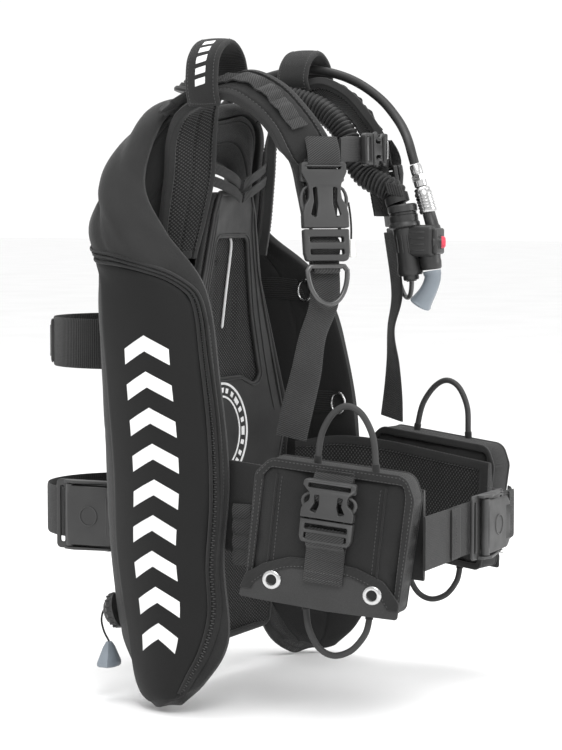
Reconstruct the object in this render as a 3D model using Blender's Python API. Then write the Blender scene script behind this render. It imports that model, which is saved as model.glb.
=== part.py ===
"""Back-inflating buoyancy compensator vest for a diver, as separate named sub-parts.

Frame: X = 0 is the plane of symmetry and +X is the wearer's left. The wearer faces -Y.
Y = 0 is the flat rear face of the back plate, where the air cylinder rests. +Z is up.
Places below are in millimetres and become metres when a mesh is made.
"""
import math

import bmesh
import bpy
import numpy as np
from mathutils import Matrix, Vector

MM = 0.001
GAP = 0.4  # clearance between pieces that touch

# Driving dimensions, millimetres
BELT_WIDTH = 50.0  # waist belt and cylinder bands
CHEST_WEBBING = 30.0
STERNUM_WEBBING = 25.0
WEBBING_THICK = 2.4
STRAP_THICK = 12.0  # padded shoulder strap
CELL_THICK = 26.0  # air cell, partly filled
UPPER_BAND = (81.0, 80.0)  # middle (Y) and radius of the empty upper cylinder band
LOWER_BAND = (86.0, 83.0)
UPPER_BAND_Z = 31.0
LOWER_BAND_Z = -140.0
POCKET_DEPTH = 34.0
HOSE_RADIUS = 12.5  # corrugated hose
LP_HOSE_DIAMETER = 9.5
CORD_DIAMETER = 2.0
RING_WIRE = 2.5  # radius of the D-ring wire
LOOP_TUBE = 3.0  # radius of the moulded accessory loops

SIDES = {"right": -1, "left": 1}

BLACK_CLOTH = ((0.028, 0.028, 0.027), 0.6, 0.0)
NYLON = ((0.045, 0.045, 0.043), 0.75, 0.0)
WEBBING = ((0.055, 0.055, 0.052), 0.8, 0.0)
PLASTIC = ((0.05, 0.05, 0.05), 0.45, 0.0)
RUBBER = ((0.02, 0.02, 0.02), 0.6, 0.0)
STEEL = ((0.68, 0.68, 0.68), 0.25, 1.0)
GREY_PLASTIC = ((0.33, 0.38, 0.44), 0.4, 0.0)
RED_PLASTIC = ((0.7, 0.03, 0.06), 0.4, 0.0)


def clear_scene():
    for item in list(bpy.data.objects):
        bpy.data.objects.remove(item)


def material(name, look):
    colour, roughness, metallic = look
    made = bpy.data.materials.new(name)
    made.use_nodes = True
    shader = made.node_tree.nodes["Principled BSDF"]
    shader.inputs["Base Color"].default_value = (*colour, 1.0)
    shader.inputs["Roughness"].default_value = roughness
    shader.inputs["Metallic"].default_value = metallic
    return made


def smooth(points, count):
    """count points at even steps along a smooth curve through the given points."""
    given = np.array(points, float)
    if len(given) == 2:
        share = np.linspace(0, 1, count)[:, None]
        return given[0] * (1 - share) + given[1] * share
    padded = np.vstack([2 * given[0] - given[1], given, 2 * given[-1] - given[-2]])
    steps = 24
    fine = []
    for i in range(1, len(padded) - 2):
        before, here, there, after = padded[i - 1 : i + 3]
        for t in np.arange(steps) / steps:
            line = 2 * here + (there - before) * t
            bend = (2 * before - 5 * here + 4 * there - after) * t**2
            turn = (3 * here - before - 3 * there + after) * t**3
            fine.append((line + bend + turn) / 2)
    fine.append(given[-1])
    fine = np.array(fine)
    run = np.concatenate([[0], np.cumsum(np.linalg.norm(np.diff(fine, axis=0), axis=1))])
    even = np.linspace(0, run[-1], count)
    return np.stack([np.interp(even, run, fine[:, k]) for k in range(fine.shape[1])], axis=1)


def mirrored(points, side):
    """Points given for the left half, on the right half where side is -1."""
    return [(side * x, y, z) for x, y, z in points]


def add_mesh(name, build, look):
    """An object from a bmesh in millimetres, its normals facing out."""
    bmesh.ops.recalc_face_normals(build, faces=build.faces)
    if build.calc_volume(signed=True) < 0:
        bmesh.ops.reverse_faces(build, faces=build.faces)
    bmesh.ops.scale(build, vec=(MM, MM, MM), verts=build.verts)
    mesh = bpy.data.meshes.new(name)
    build.to_mesh(mesh)
    build.free()
    made = bpy.data.objects.new(name, mesh)
    bpy.context.scene.collection.objects.link(made)
    made.data.materials.append(material(name, look))
    mesh.shade_smooth()
    mesh.set_sharp_from_angle(angle=math.radians(35))
    return made


def skin(rings, closed=False):
    """A closed bmesh over rings of points, capped at both ends unless it closes on itself."""
    build = bmesh.new()
    rows = [[build.verts.new(tuple(p)) for p in ring] for ring in rings]
    pairs = list(zip(rows[:-1], rows[1:]))
    if closed:
        pairs.append((rows[-1], rows[0]))
    for low, high in pairs:
        for i in range(len(low)):
            j = (i + 1) % len(low)
            build.faces.new((low[i], low[j], high[j], high[i]))
    if not closed:
        build.faces.new(rows[0])
        build.faces.new(rows[-1])
    return build


def pad(name, rows, thick, edge, look, along=24, across=6, ends=1.0):
    """A closed cushion around a smooth surface through rows of points.

    thick is the middle's thickness, edge the two long edges', and ends the share of the
    thickness that is left at the first and last row.
    """
    grid = np.array([smooth(row, across + 1) for row in rows])
    grid = np.array([smooth(grid[:, j], along + 1) for j in range(across + 1)])
    grid = grid.transpose(1, 0, 2)
    normal = np.cross(np.gradient(grid, axis=0), np.gradient(grid, axis=1))
    normal /= np.linalg.norm(normal, axis=2, keepdims=True)
    crown = np.sin(np.pi * np.linspace(0, 1, across + 1)) ** 0.6
    run = np.sin(np.pi * np.linspace(0, 1, along + 1)) ** 0.3
    depth = edge + (thick - edge) * crown[None, :] * (ends + (1 - ends) * run)[:, None]
    front = grid + normal * depth[..., None] / 2
    rear = grid - normal * depth[..., None] / 2
    rings = [list(front[i]) + list(rear[i][::-1]) for i in range(along + 1)]
    return add_mesh(name, skin(rings), look)


def strap(name, route, width_vectors, thick, look, along=16):
    """A flat strap along a route, its width given as a vector at each point."""
    centre = np.array(route, float)
    width = np.array(width_vectors, float)
    rows = [(c - w / 2, c + w / 2) for c, w in zip(centre, width)]
    return pad(name, rows, thick, thick, look, along=along, across=2)


def tube_rings(route, radius, sides):
    """Round sections square to a route, turned as little as possible from one to the next."""
    route = np.array(route, float)
    radius = np.broadcast_to(np.array(radius, float), len(route))
    ahead = np.gradient(route, axis=0)
    ahead /= np.linalg.norm(ahead, axis=1, keepdims=True)
    guide = np.array([0.0, 0.0, 1.0]) if abs(ahead[0][2]) < 0.9 else np.array([1.0, 0.0, 0.0])
    across = np.cross(ahead[0], guide)
    rings = []
    for point, way, size in zip(route, ahead, radius):
        across = across - way * np.dot(across, way)
        across /= np.linalg.norm(across)
        up = np.cross(way, across)
        turns = np.arange(sides) * 2 * math.pi / sides
        rings.append([point + size * (math.cos(a) * across + math.sin(a) * up) for a in turns])
    return rings


def tube(name, route, radius, look, points=20, sides=12):
    return add_mesh(name, skin(tube_rings(smooth(route, points), radius, sides)), look)


def frame_of(origin, across, up):
    """A local frame: x across, z up, y pointing out of the face."""
    x = Vector(across).normalized()
    z = Vector(up)
    z = (z - x * z.dot(x)).normalized()
    y = z.cross(x)
    turn = Matrix((x, y, z)).transposed().to_4x4()
    return Matrix.Translation(Vector(origin)) @ turn


def block(size, centre, bevel=0.0, place=None):
    """A bmesh box with its edges bevelled, in a local frame."""
    build = bmesh.new()
    bmesh.ops.create_cube(build, size=1.0)
    bmesh.ops.scale(build, vec=size, verts=build.verts)
    if bevel:
        bmesh.ops.bevel(build, geom=build.edges[:], offset=bevel, segments=1, affect="EDGES")
    bmesh.ops.translate(build, vec=centre, verts=build.verts)
    if place is not None:
        bmesh.ops.transform(build, matrix=place, verts=build.verts)
    return build


def rod(radius, start, end, place=None, sides=20, tip=None):
    """A bmesh cylinder between two points, or a cone where tip is the second radius."""
    tip = radius if tip is None else tip
    build = skin(tube_rings([start, end], [radius, tip], sides))
    if place is not None:
        bmesh.ops.transform(build, matrix=place, verts=build.verts)
    return build


def assemble(name, solids, holes, look):
    """One body from solids joined together, less the holes, all as bmeshes."""
    base = add_mesh(name, solids[0], look)
    tools = []
    for kind, shapes in (("UNION", solids[1:]), ("DIFFERENCE", holes)):
        for shape in shapes:
            tool = add_mesh("cutter", shape, look)
            tools.append(tool)
            step = base.modifiers.new("cut", "BOOLEAN")
            step.operation = kind
            step.object = tool
            step.solver = "EXACT"
    graph = bpy.context.evaluated_depsgraph_get()
    result = bpy.data.meshes.new_from_object(base.evaluated_get(graph))
    base.modifiers.clear()
    base.data = result
    base.data.materials.clear()
    base.data.materials.append(bpy.data.materials[name])
    base.data.shade_smooth()
    base.data.set_sharp_from_angle(angle=math.radians(35))
    for tool in tools:
        bpy.data.objects.remove(tool)
    return base


def rounded(corners, radius, steps=4):
    """A closed outline whose corners are turned into arcs of the given radius."""
    outline = []
    count = len(corners)
    for i in range(count):
        here = Vector(corners[i])
        before = (Vector(corners[i - 1]) - here).normalized()
        after = (Vector(corners[(i + 1) % count]) - here).normalized()
        half = before.angle(after) / 2
        cut = radius / math.tan(half)
        centre = here + (before + after).normalized() * radius / math.sin(half)
        start = here + before * cut - centre
        end = here + after * cut - centre
        for k in range(steps + 1):
            turned = start.lerp(end, k / steps)
            outline.append(tuple(centre + turned.normalized() * radius))
    return outline


def panel(outlines, thick, bend, step):
    """A bmesh plate from flat outlines, holes included, bent so that (u, v) lies at bend(u, v, w)."""
    curve = bpy.data.curves.new("outline", "CURVE")
    curve.dimensions = "2D"
    curve.fill_mode = "BOTH"
    curve.extrude = thick / 2
    for outline in outlines:
        line = curve.splines.new("POLY")
        line.points.add(len(outline) - 1)
        for point, (u, v) in zip(line.points, outline):
            point.co = (u, v, 0, 1)
        line.use_cyclic_u = True
    holder = bpy.data.objects.new("outline", curve)
    bpy.context.scene.collection.objects.link(holder)
    graph = bpy.context.evaluated_depsgraph_get()
    flat = bpy.data.meshes.new_from_object(holder.evaluated_get(graph))
    bpy.data.objects.remove(holder)
    build = bmesh.new()
    build.from_mesh(flat)
    bmesh.ops.remove_doubles(build, verts=build.verts, dist=0.001)
    low = [min(v.co[k] for v in build.verts) for k in range(2)]
    high = [max(v.co[k] for v in build.verts) for k in range(2)]
    for axis in range(2):
        for at in np.arange(low[axis] + step * 0.73, high[axis] - 1.0, step):
            where = [0.0, 0.0, 0.0]
            where[axis] = at
            facing = [0.0, 0.0, 0.0]
            facing[axis] = 1.0
            everything = build.verts[:] + build.edges[:] + build.faces[:]
            bmesh.ops.bisect_plane(build, geom=everything, plane_co=where, plane_no=facing)
    bmesh.ops.triangulate(build, faces=build.faces)
    for v in build.verts:
        v.co = bend(v.co.x, v.co.y, v.co.z)
    return build


# --- back ---------------------------------------------------------------------------------


def back_surface(x, z):
    """How far forward the back pad's middle lies: wings forward at the sides, leaning at the top."""
    lean = max(0.0, (z + 40.0) / 225.0)
    return -12.0 - 16.0 * (x / 105.0) ** 2 - 18.0 * lean**1.3


def make_back():
    plate = rounded([(-60, -150), (60, -150), (56, 100), (34, 176), (-34, 176), (-56, 100)], 12)
    slots = []
    for x in (-50, 50):
        for z in (UPPER_BAND_Z, LOWER_BAND_Z + 14):
            slots.append(rounded([(x - 3, z - 27), (x + 3, z - 27), (x + 3, z + 27), (x - 3, z + 27)], 2))
    flat = panel([plate] + slots, 6.0, lambda u, v, w: (u, w - 3.0, v), 400.0)
    add_mesh("back_plate", flat, PLASTIC)

    half = [(96, -270), (100, -236), (110, -150), (118, -118), (124, -50), (104, 10), (70, 92),
            (54, 150), (42, 180)]
    outline = rounded([(x, z) for x, z in half] + [(-x, z) for x, z in half[::-1]], 10)
    add_mesh("back_pad", panel([outline], 7.0, lambda u, v, w: (u, back_surface(u, v) + w, v), 34.0), NYLON)

    arm = [(104, -108), (116, -56), (88, 30), (60, 104), (46, 160), (35, 184)]
    outer = rounded([(x, z) for x, z in arm] + [(-x, z) for x, z in arm[::-1]], 6, steps=3)
    hole = [(76, -18), (50, 60), (32, 136), (-32, 136), (-50, 60), (-76, -18), (-40, -4), (40, -4)]
    window = rounded(hole, 6, steps=3)

    def on_pad(u, v, w):
        return (u, back_surface(u, v) - 6.6 + w, v)

    add_mesh("back_frame", panel([outer, window], 4.0, on_pad, 34.0), PLASTIC)


# --- air cell -----------------------------------------------------------------------------


def make_air_cell():
    """A horseshoe from the right lower lobe over the top to the left lower lobe."""
    half = [
        [(122, -30, -292), (142, -36, -302), (162, -44, -306), (171, -56, -305), (176, -70, -299)],
        [(102, -22, -272), (130, -20, -284), (156, -26, -288), (173, -56, -289), (174, -94, -279)],
        [(94, -14, -236), (120, -4, -240), (142, 2, -244), (169, -50, -244), (164, -114, -238)],
        [(78, -2, -165), (106, 10, -165), (135, 17, -165), (163, -42, -165), (156, -105, -165)],
        [(76, -2, -85), (106, 12, -85), (135, 21, -85), (160, -40, -85), (149, -107, -85)],
        [(76, -4, 5), (106, 12, 5), (137, 24, 5), (158, -34, 5), (146, -96, 5)],
        [(78, -4, 90), (108, 10, 90), (139, 26, 90), (155, -24, 90), (144, -80, 90)],
        [(72, -6, 145), (106, 10, 145), (144, 32, 145), (155, -4, 145), (146, -38, 145)],
        [(56, -6, 190), (92, 6, 190), (132, 20, 192), (143, 6, 192), (140, -12, 190)],
        [(40, -6, 206), (68, 0, 226), (104, 3, 242), (113, -2, 245), (112, -12, 243)],
        [(20, -6, 212), (36, -3, 236), (64, -4, 260), (71, -7, 266), (73, -14, 265)],
        [(0, -6, 214), (0, -4, 236), (0, -6, 254), (0, -9, 260), (0, -15, 259)],
    ]
    left = list(half)
    left[6] = [(78, -4, 90), (108, 10, 90), (139, 26, 90), (153, -20, 90), (146, -64, 90)]
    left[7] = [(72, -6, 145), (106, 10, 145), (142, 34, 145), (150, 20, 145), (140, 2, 145)]
    left[8] = [(56, -6, 190), (92, 6, 190), (130, 22, 192), (139, 14, 192), (134, 2, 190)]
    rows = [mirrored(row, -1) for row in half] + left[-2::-1]
    pad("air_cell", rows, CELL_THICK, 5.0, BLACK_CLOTH, along=66, across=10, ends=0.6)


# --- shoulder harness ---------------------------------------------------------------------

BUCKLE_ORIGIN = (87.0, -178.0, 147.0)  # where the chest buckle's halves meet, left side
BUCKLE_ACROSS = (-0.72, -0.695, 0.0)
BUCKLE_UP = (0.0, 0.19, 0.98)


def buckle_frame(side):
    """The chest buckle's local frame: y points away from the chest, z up the strap."""
    across = (BUCKLE_ACROSS[0], side * BUCKLE_ACROSS[1], BUCKLE_ACROSS[2])
    return frame_of((side * BUCKLE_ORIGIN[0], *BUCKLE_ORIGIN[1:]), across, BUCKLE_UP)


def make_shoulder_straps():
    """Padded straps from the shoulder blades over the shoulders to the chest buckles."""
    centres = [(92, -20, 118), (90, -26, 154), (86, -32, 198), (88, -36, 238), (95, -50, 267),
               (99, -88, 284), (96, -118, 273), (91, -141, 250), (86, -156, 225), (75, -160, 207),
               (75, -164, 183), (77, -167, 159)]
    widths = [(-36, -22, 0), (-42, -26, 0), (-46, -28, 0), (-48, -26, 8), (-46, -18, 18),
              (-48, -6, 24), (-46, -14, 24), (-42, -24, 16), (-38, -34, 8), (-32, -31, 0),
              (-29, -28, 0), (-24, -24, 0)]
    for name, side in SIDES.items():
        rows = []
        for centre, width in zip(centres, widths):
            c, w = np.array(centre, float), np.array(width, float)
            rows.append(mirrored([c - w / 2, c, c + w / 2], side))
        pad(f"shoulder_strap_{name}", rows, STRAP_THICK, 5.0, NYLON, along=28, across=6)


def make_hose_loops():
    """Padded sleeves that arch over the straps, for the hoses and for carrying."""
    route = [(129.5, -69, 276), (130, -69, 292), (127, -69, 307), (116, -69, 319), (100, -69, 325),
             (85, -69, 321), (74, -69, 312), (68.5, -69, 301)]
    for name, side in SIDES.items():
        widths = [(0.0, side * 34.0, 0.0)] * len(route)
        strap(f"hose_loop_{name}", mirrored(route, side), widths, 8.0, NYLON, along=18)


def side_release(socket_name, latch_name, place, width, length, latch_length, thick, web):
    """A side-release buckle: the latch's prongs sit inside the socket's open mouth."""
    wall = 2.2
    inner = width - 2 * wall - 3.0
    socket = block((width, thick, length), (0, 0, GAP + length / 2), 1.6, place)
    mouth_deep = length - 9.0
    mouth = block((inner, thick - 2 * wall, mouth_deep + 4), (0, 0, mouth_deep / 2 - 2 + GAP), 0, place)
    slot = block((web + 2, thick + 6, 3.2), (0, 0, length - 4.5), 0, place)
    opening = (9.0, thick - 2 * wall - 0.8, length * 0.34)
    windows = [block(opening, (s * width / 2, 0, length * 0.45), 0, place)
               for s in (-1, 1)]
    assemble(socket_name, [socket], [mouth, slot] + windows, PLASTIC)

    base_length = latch_length
    base = block((width, thick, base_length), (0, 0, -base_length / 2), 1.6, place)
    depth = thick - 2 * wall - 1.0
    reach = min(mouth_deep - 3.0, 26.0)
    arms = [block((4.5, depth, reach), (x, 0, reach / 2 - 1.0), 0.6, place)
            for x in (-(inner / 2 - 3.4), 0.0, inner / 2 - 3.4)]
    slots = [block((web + 2, thick + 6, 3.0), (0, 0, z), 0, place)
             for z in (-base_length * 0.34, -base_length * 0.72)]
    assemble(latch_name, [base] + arms, slots, PLASTIC)


def make_chest_buckles():
    for name, side in SIDES.items():
        place = buckle_frame(side)
        socket, latch = f"shoulder_buckle_{name}", f"shoulder_latch_{name}"
        side_release(socket, latch, place, 46.0, 64.0, 31.0, 11.0, 32.0)


def make_chest_webbing():
    """Webbing from behind each chest latch down to the waist, with a half twist near its end."""
    for name, side in SIDES.items():
        place = buckle_frame(side)
        top = place @ Vector((0, -9.5, -4))
        low = place @ Vector((0, -9.5, -64))
        route = [tuple(top), tuple(low)]
        route += mirrored([(94, -168, 44), (104, -166, 10), (114, -162, -22), (120, -158, -50)], side)
        across = place.to_3x3() @ Vector((CHEST_WEBBING, 0, 0))
        flip = 1 if across.x * side > 0 else -1
        start = tuple(across * flip)
        widths = [start, start] + mirrored([(24, 17, 2), (20, 22, 4), (14, 26, 6), (8, 28, 6)], side)
        strap(f"shoulder_webbing_{name}", route, widths, WEBBING_THICK, WEBBING, along=22)


def d_ring_points(width, drop, steps=14):
    """A closed D in the local x-z plane, its straight bar on z = 0."""
    half = width / 2
    points = [(x, 0.0, 0.0) for x in np.linspace(-half + 3, half - 3, 6)]
    for k in range(steps + 1):
        a = math.pi * k / steps
        points.append((half * math.cos(a), 0.0, -4.0 - (drop - 4.0) * math.sin(a)))
    return points


def make_d_rings():
    for name, side in SIDES.items():
        place = buckle_frame(side)
        ring = [place @ Vector((x, 1.0, z - 36.0)) for x, y, z in d_ring_points(40.0, 36.0)]
        add_ring(f"d_ring_{name}", ring, RING_WIRE, STEEL)


def add_ring(name, points, radius, look, sides=8):
    """A closed loop of round wire through the points."""
    route = np.array([tuple(p) for p in points], float)
    ahead = np.roll(route, -1, axis=0) - np.roll(route, 1, axis=0)
    ahead /= np.linalg.norm(ahead, axis=1, keepdims=True)
    centre = route.mean(axis=0)
    flat = np.cross(route[0] - centre, route[len(route) // 3] - centre)
    flat /= np.linalg.norm(flat)
    rings = []
    for point, way in zip(route, ahead):
        outward = np.cross(way, flat)
        outward /= np.linalg.norm(outward)
        turns = np.arange(sides) * 2 * math.pi / sides
        rings.append([point + radius * (math.cos(a) * outward + math.sin(a) * flat) for a in turns])
    return add_mesh(name, skin(rings, closed=True), look)


def make_sternum():
    """The breast strap, its buckle halves meeting near the middle."""
    tall = (0, 0, STERNUM_WEBBING)
    place = frame_of((12, -181, 224), (0, 0.03, 1), (1, 0.0, 0))
    behind = [tuple(place @ Vector((0, -8.0, z))) for z in (-4.0, -34.0)]
    right = [(-60.5, -181, 221)] + behind[::-1]
    strap("sternum_strap_right", right, [tall] * len(right), WEBBING_THICK, WEBBING, along=8)
    left = [tuple(place @ Vector((0, -8.0, z))) for z in (2.0, 32.0)] + [(57, -174.5, 225)]
    strap("sternum_strap_left", left, [tall] * len(left), WEBBING_THICK, WEBBING, along=8)
    side_release("sternum_buckle", "sternum_latch", place, 32.0, 28.0, 17.4, 8.5, 22.0)


# --- waist --------------------------------------------------------------------------------

POCKET_BACK = {"right": -155.0, "left": -124.0}  # rear edge of each weight pocket, along Y
POCKET_LONG = 153.0
POCKET_TALL = 130.0
POCKET_X = 187.0  # outer face at the rear edge
POCKET_TURN = 0.155  # the outer face comes inward this much for each unit forward
POCKET_DROP = 0.11  # the front end sits this much lower for each unit forward
POCKET_TOP = -60.0


def pocket_place(name):
    """A pocket's frame: x forward along the outer face, y outward, z up, origin at its top rear."""
    side = SIDES[name]
    ahead = Vector((-POCKET_TURN * side, -1.0, -POCKET_DROP)).normalized()
    up = Vector((0.0, 0.0, 1.0))
    up = (up - ahead * up.dot(ahead)).normalized()
    outward = Vector((side, -POCKET_TURN, 0.0)).normalized()
    outward = (outward - up * outward.dot(up) - ahead * outward.dot(ahead)).normalized()
    turn = Matrix((ahead, outward, up)).transposed().to_4x4()
    origin = Vector((side * POCKET_X, POCKET_BACK[name], POCKET_TOP))
    return Matrix.Translation(origin) @ turn


def on_face(place, lift):
    """Maps flat (u, v) on a pocket's outer face, w being the height above it."""
    return lambda u, v, w: place @ Vector((u, lift + w, v))


def make_waist_pads():
    """Padded wings from the back pad round the hips, behind the weight pockets."""
    stations = [(114, -50, -138, -108, -78), (134, -92, -156, -114, -72), (142, -150, -164, -120, -76),
                (142, -220, -170, -127, -84), (142, -288, -176, -134, -92)]
    for name, side in SIDES.items():
        shift = POCKET_BACK[name] + 147.0
        rows = []
        for free_x, y, low, middle, high in stations:
            y += shift * max(0.0, (-y - 100.0) / 190.0)
            inner = POCKET_X - POCKET_DEPTH - POCKET_TURN * (POCKET_BACK[name] - y)
            x = min(free_x, inner - 7.5)
            rows.append(mirrored([(x, y, z) for z in (low, middle, high)], side))
        pad(f"waist_pad_{name}", rows, 9.0, 4.0, NYLON, along=20, across=4)


def make_weight_pockets():
    corners = [(0, -16), (14, 0), (POCKET_LONG - 10, 0), (POCKET_LONG, -20), (POCKET_LONG - 4, -POCKET_TALL),
               (2, -POCKET_TALL)]
    flap = [(2, -POCKET_TALL + 1), (POCKET_LONG - 5, -POCKET_TALL + 1), (POCKET_LONG - 4, -118),
            (129, -98), (77, -88), (30, -90), (2, -106)]
    for name in SIDES:
        place = pocket_place(name)
        body = panel([rounded(corners, 8)], POCKET_DEPTH, on_face(place, -POCKET_DEPTH / 2), 400.0)
        add_mesh(f"weight_pocket_{name}", body, BLACK_CLOTH)
        cover = panel([rounded(flap, 5)], 2.4, on_face(place, GAP + 1.2), 400.0)
        add_mesh(f"pocket_flap_{name}", cover, RUBBER)
        for label, u in (("rear", 28.0), ("front", 124.0)):
            lift = GAP * 2 + 2.4
            add_mesh(f"grommet_{name}_{label}", washer(place, u, -112.0, lift), STEEL)


def washer(place, u, v, lift, outer=9.5, inner=4.6, thick=2.0):
    """A flat ring that stands on a pocket's face."""
    section = [(inner, 0.0), (outer, 0.0), (outer - 1.0, thick), (inner + 1.0, thick)]
    rings = []
    for a in np.arange(20) * math.pi / 10:
        way = Vector((math.cos(a), 0.0, math.sin(a)))
        centre = Vector((u, lift, v))
        rings.append([place @ (centre + way * r + Vector((0, h, 0))) for r, h in section])
    return skin(rings, closed=True)


def make_pocket_buckles():
    for name, side in SIDES.items():
        place = pocket_place(name)
        origin = place @ Vector((77.0, GAP + 11.0, -48.0))
        ahead = place.to_3x3() @ Vector((1, 0, 0))
        up = place.to_3x3() @ Vector((0, 0, 1))
        outward = place.to_3x3() @ Vector((0, 1, 0))
        if up.cross(ahead).dot(outward) < 0:
            ahead = -ahead
        local = frame_of(origin, ahead, up)
        side_release(f"pocket_buckle_{name}", f"pocket_latch_{name}", local, 50.0, 36.0, 22.3, 11.0, 38.0)


BELT_Z = -138.0
BUCKLE_X = (-34.0, 46.0)  # ends of the waist buckle's frame
BUCKLE_Y = -300.0


def make_waist_belt():
    tall = (0, 0, BELT_WIDTH)
    right = [(-150, -307, BELT_Z), (-116, -306, BELT_Z), (-86, -305, BELT_Z), (-60, -303, BELT_Z),
             (BUCKLE_X[0] + 14, -302, BELT_Z)]
    strap("waist_belt_right", right, [tall] * 5, WEBBING_THICK, WEBBING, along=12)
    left = [(BUCKLE_X[1] - 12, -302, BELT_Z), (76, -301, BELT_Z), (102, -296, BELT_Z), (116, -288, BELT_Z)]
    strap("waist_belt_left", left, [tall] * 4, WEBBING_THICK, WEBBING, along=10)


def make_cam_buckle(frame_name, lever_name, place, long, tall, cheek):
    """A buckle frame with two cheeks, and a lever that pivots between them at one end."""
    base = block((long, 3.0, tall), (0, 1.5, 0), 0.8, place)
    cheeks = [block((long * 0.7, cheek, 3.0), (0, cheek / 2 + 1.0, s * (tall / 2 - 1.5)), 0.8, place)
              for s in (-1, 1)]
    slots = [block((5.0, 20.0, tall - 13.0), (x, 0, 0), 0, place) for x in (-long * 0.41, long * 0.41)]
    assemble(frame_name, [base] + cheeks, slots, PLASTIC)
    pivot_x, pivot_y = long * 0.25, 8.0
    width = tall - 2 * 3.0 - 2 * GAP - 1.0
    roll = rod(4.2, (pivot_x, pivot_y, -width / 2), (pivot_x, pivot_y, width / 2), place)
    blade = block((long * 0.62, 4.0, width), (pivot_x - long * 0.31, pivot_y + 1.5, 0), 1.2, place)
    lip = block((8.0, 3.0, width * 0.7), (pivot_x - long * 0.62 - 2.0, pivot_y + 2.0, 0), 1.0, place)
    assemble(lever_name, [blade, roll, lip], [], PLASTIC)


def make_waist_buckle():
    centre_x = sum(BUCKLE_X) / 2
    place = frame_of((centre_x, BUCKLE_Y - 6.0, BELT_Z), (1, 0, 0), (0, 0, 1))
    flip = Matrix.Rotation(math.pi, 4, "Z")
    make_cam_buckle("waist_buckle_frame", "waist_buckle_lever", place @ flip, 82.0, 62.0, 12.0)


# --- cylinder bands -----------------------------------------------------------------------


def make_cylinder_bands():
    """Two bands from the plate's slots round the air cylinder."""
    bands = (("tank_band_upper", UPPER_BAND_Z, UPPER_BAND), ("tank_band_lower", LOWER_BAND_Z, LOWER_BAND))
    for name, z, (middle, radius) in bands:
        route = [(-58, 3.0, z), (-63, 18, z)]
        for degrees in range(-120, 121, 15):
            a = math.radians(degrees)
            route.append((radius * math.sin(a), middle + radius * math.cos(a), z))
        route += [(63, 18, z), (58, 3.0, z)]
        strap(name, route, [(0, 0, BELT_WIDTH)] * len(route), WEBBING_THICK, WEBBING, along=44)


def make_tank_buckle():
    middle, radius = LOWER_BAND
    place = frame_of((-radius - 4.0, middle - 6.0, LOWER_BAND_Z), (0, 1, 0), (0, 0, 1))
    if (place.to_3x3() @ Vector((0, 1, 0))).x > 0:
        place = place @ Matrix.Rotation(math.pi, 4, "Z")
    make_cam_buckle("tank_buckle_frame", "tank_buckle_lever", place, 78.0, 70.0, 12.0)


# --- accessory loops ----------------------------------------------------------------------


LOOP_SHIFT = {"right": 0.0, "left": 42.0}  # the left loops sit further back


def make_accessory_loops():
    """Stiff moulded loops above and below each weight pocket."""
    for name, side in SIDES.items():
        shift = LOOP_SHIFT[name]
        top = [(168, -209, -60), (170, -214, -38), (172, -226, -20), (172, -240, -13), (171, -254, -20),
               (169, -264, -40), (167, -266, -64)]
        low = [(166, -196, -206), (168, -200, -222), (168, -210, -238), (168, -225, -244),
               (167, -242, -238), (165, -254, -224), (164, -258, -212)]
        for label, route in (("upper", top), ("lower", low)):
            moved = [(x, y + shift, z) for x, y, z in mirrored(route, side)]
            tube(f"accessory_loop_{name}_{label}", moved, LOOP_TUBE, RUBBER, points=18, sides=8)


# --- inflator -----------------------------------------------------------------------------

INFLATOR_TOP = (45.0, -201.0, 166.0)
HEAD = (48.0, -223.0, 134.0)
COUPLING_LOW = (52.0, -230.0, 150.0)
COUPLING_WAY = (0.0, 0.30, 0.954)
KEY_ORIGIN = (46.0, -236.0, 133.0)
KEY_WAY = (0.44, -0.898, 0.0)  # the inflate key points this way


def key_at(distance):
    return tuple(k + w * distance for k, w in zip(KEY_ORIGIN, KEY_WAY))


def corrugated(route, radius, pitch, depth, look, name):
    """A ribbed hose: its radius rises and falls along the route."""
    fine = smooth(route, 300)
    length = np.linalg.norm(np.diff(fine, axis=0), axis=1).sum()
    count = int(length / pitch) * 2 + 1
    radii = [radius - (depth if i % 2 == 0 else 0.0) for i in range(count)]
    return add_mesh(name, skin(tube_rings(smooth(route, count), radii, 12)), look)


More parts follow.
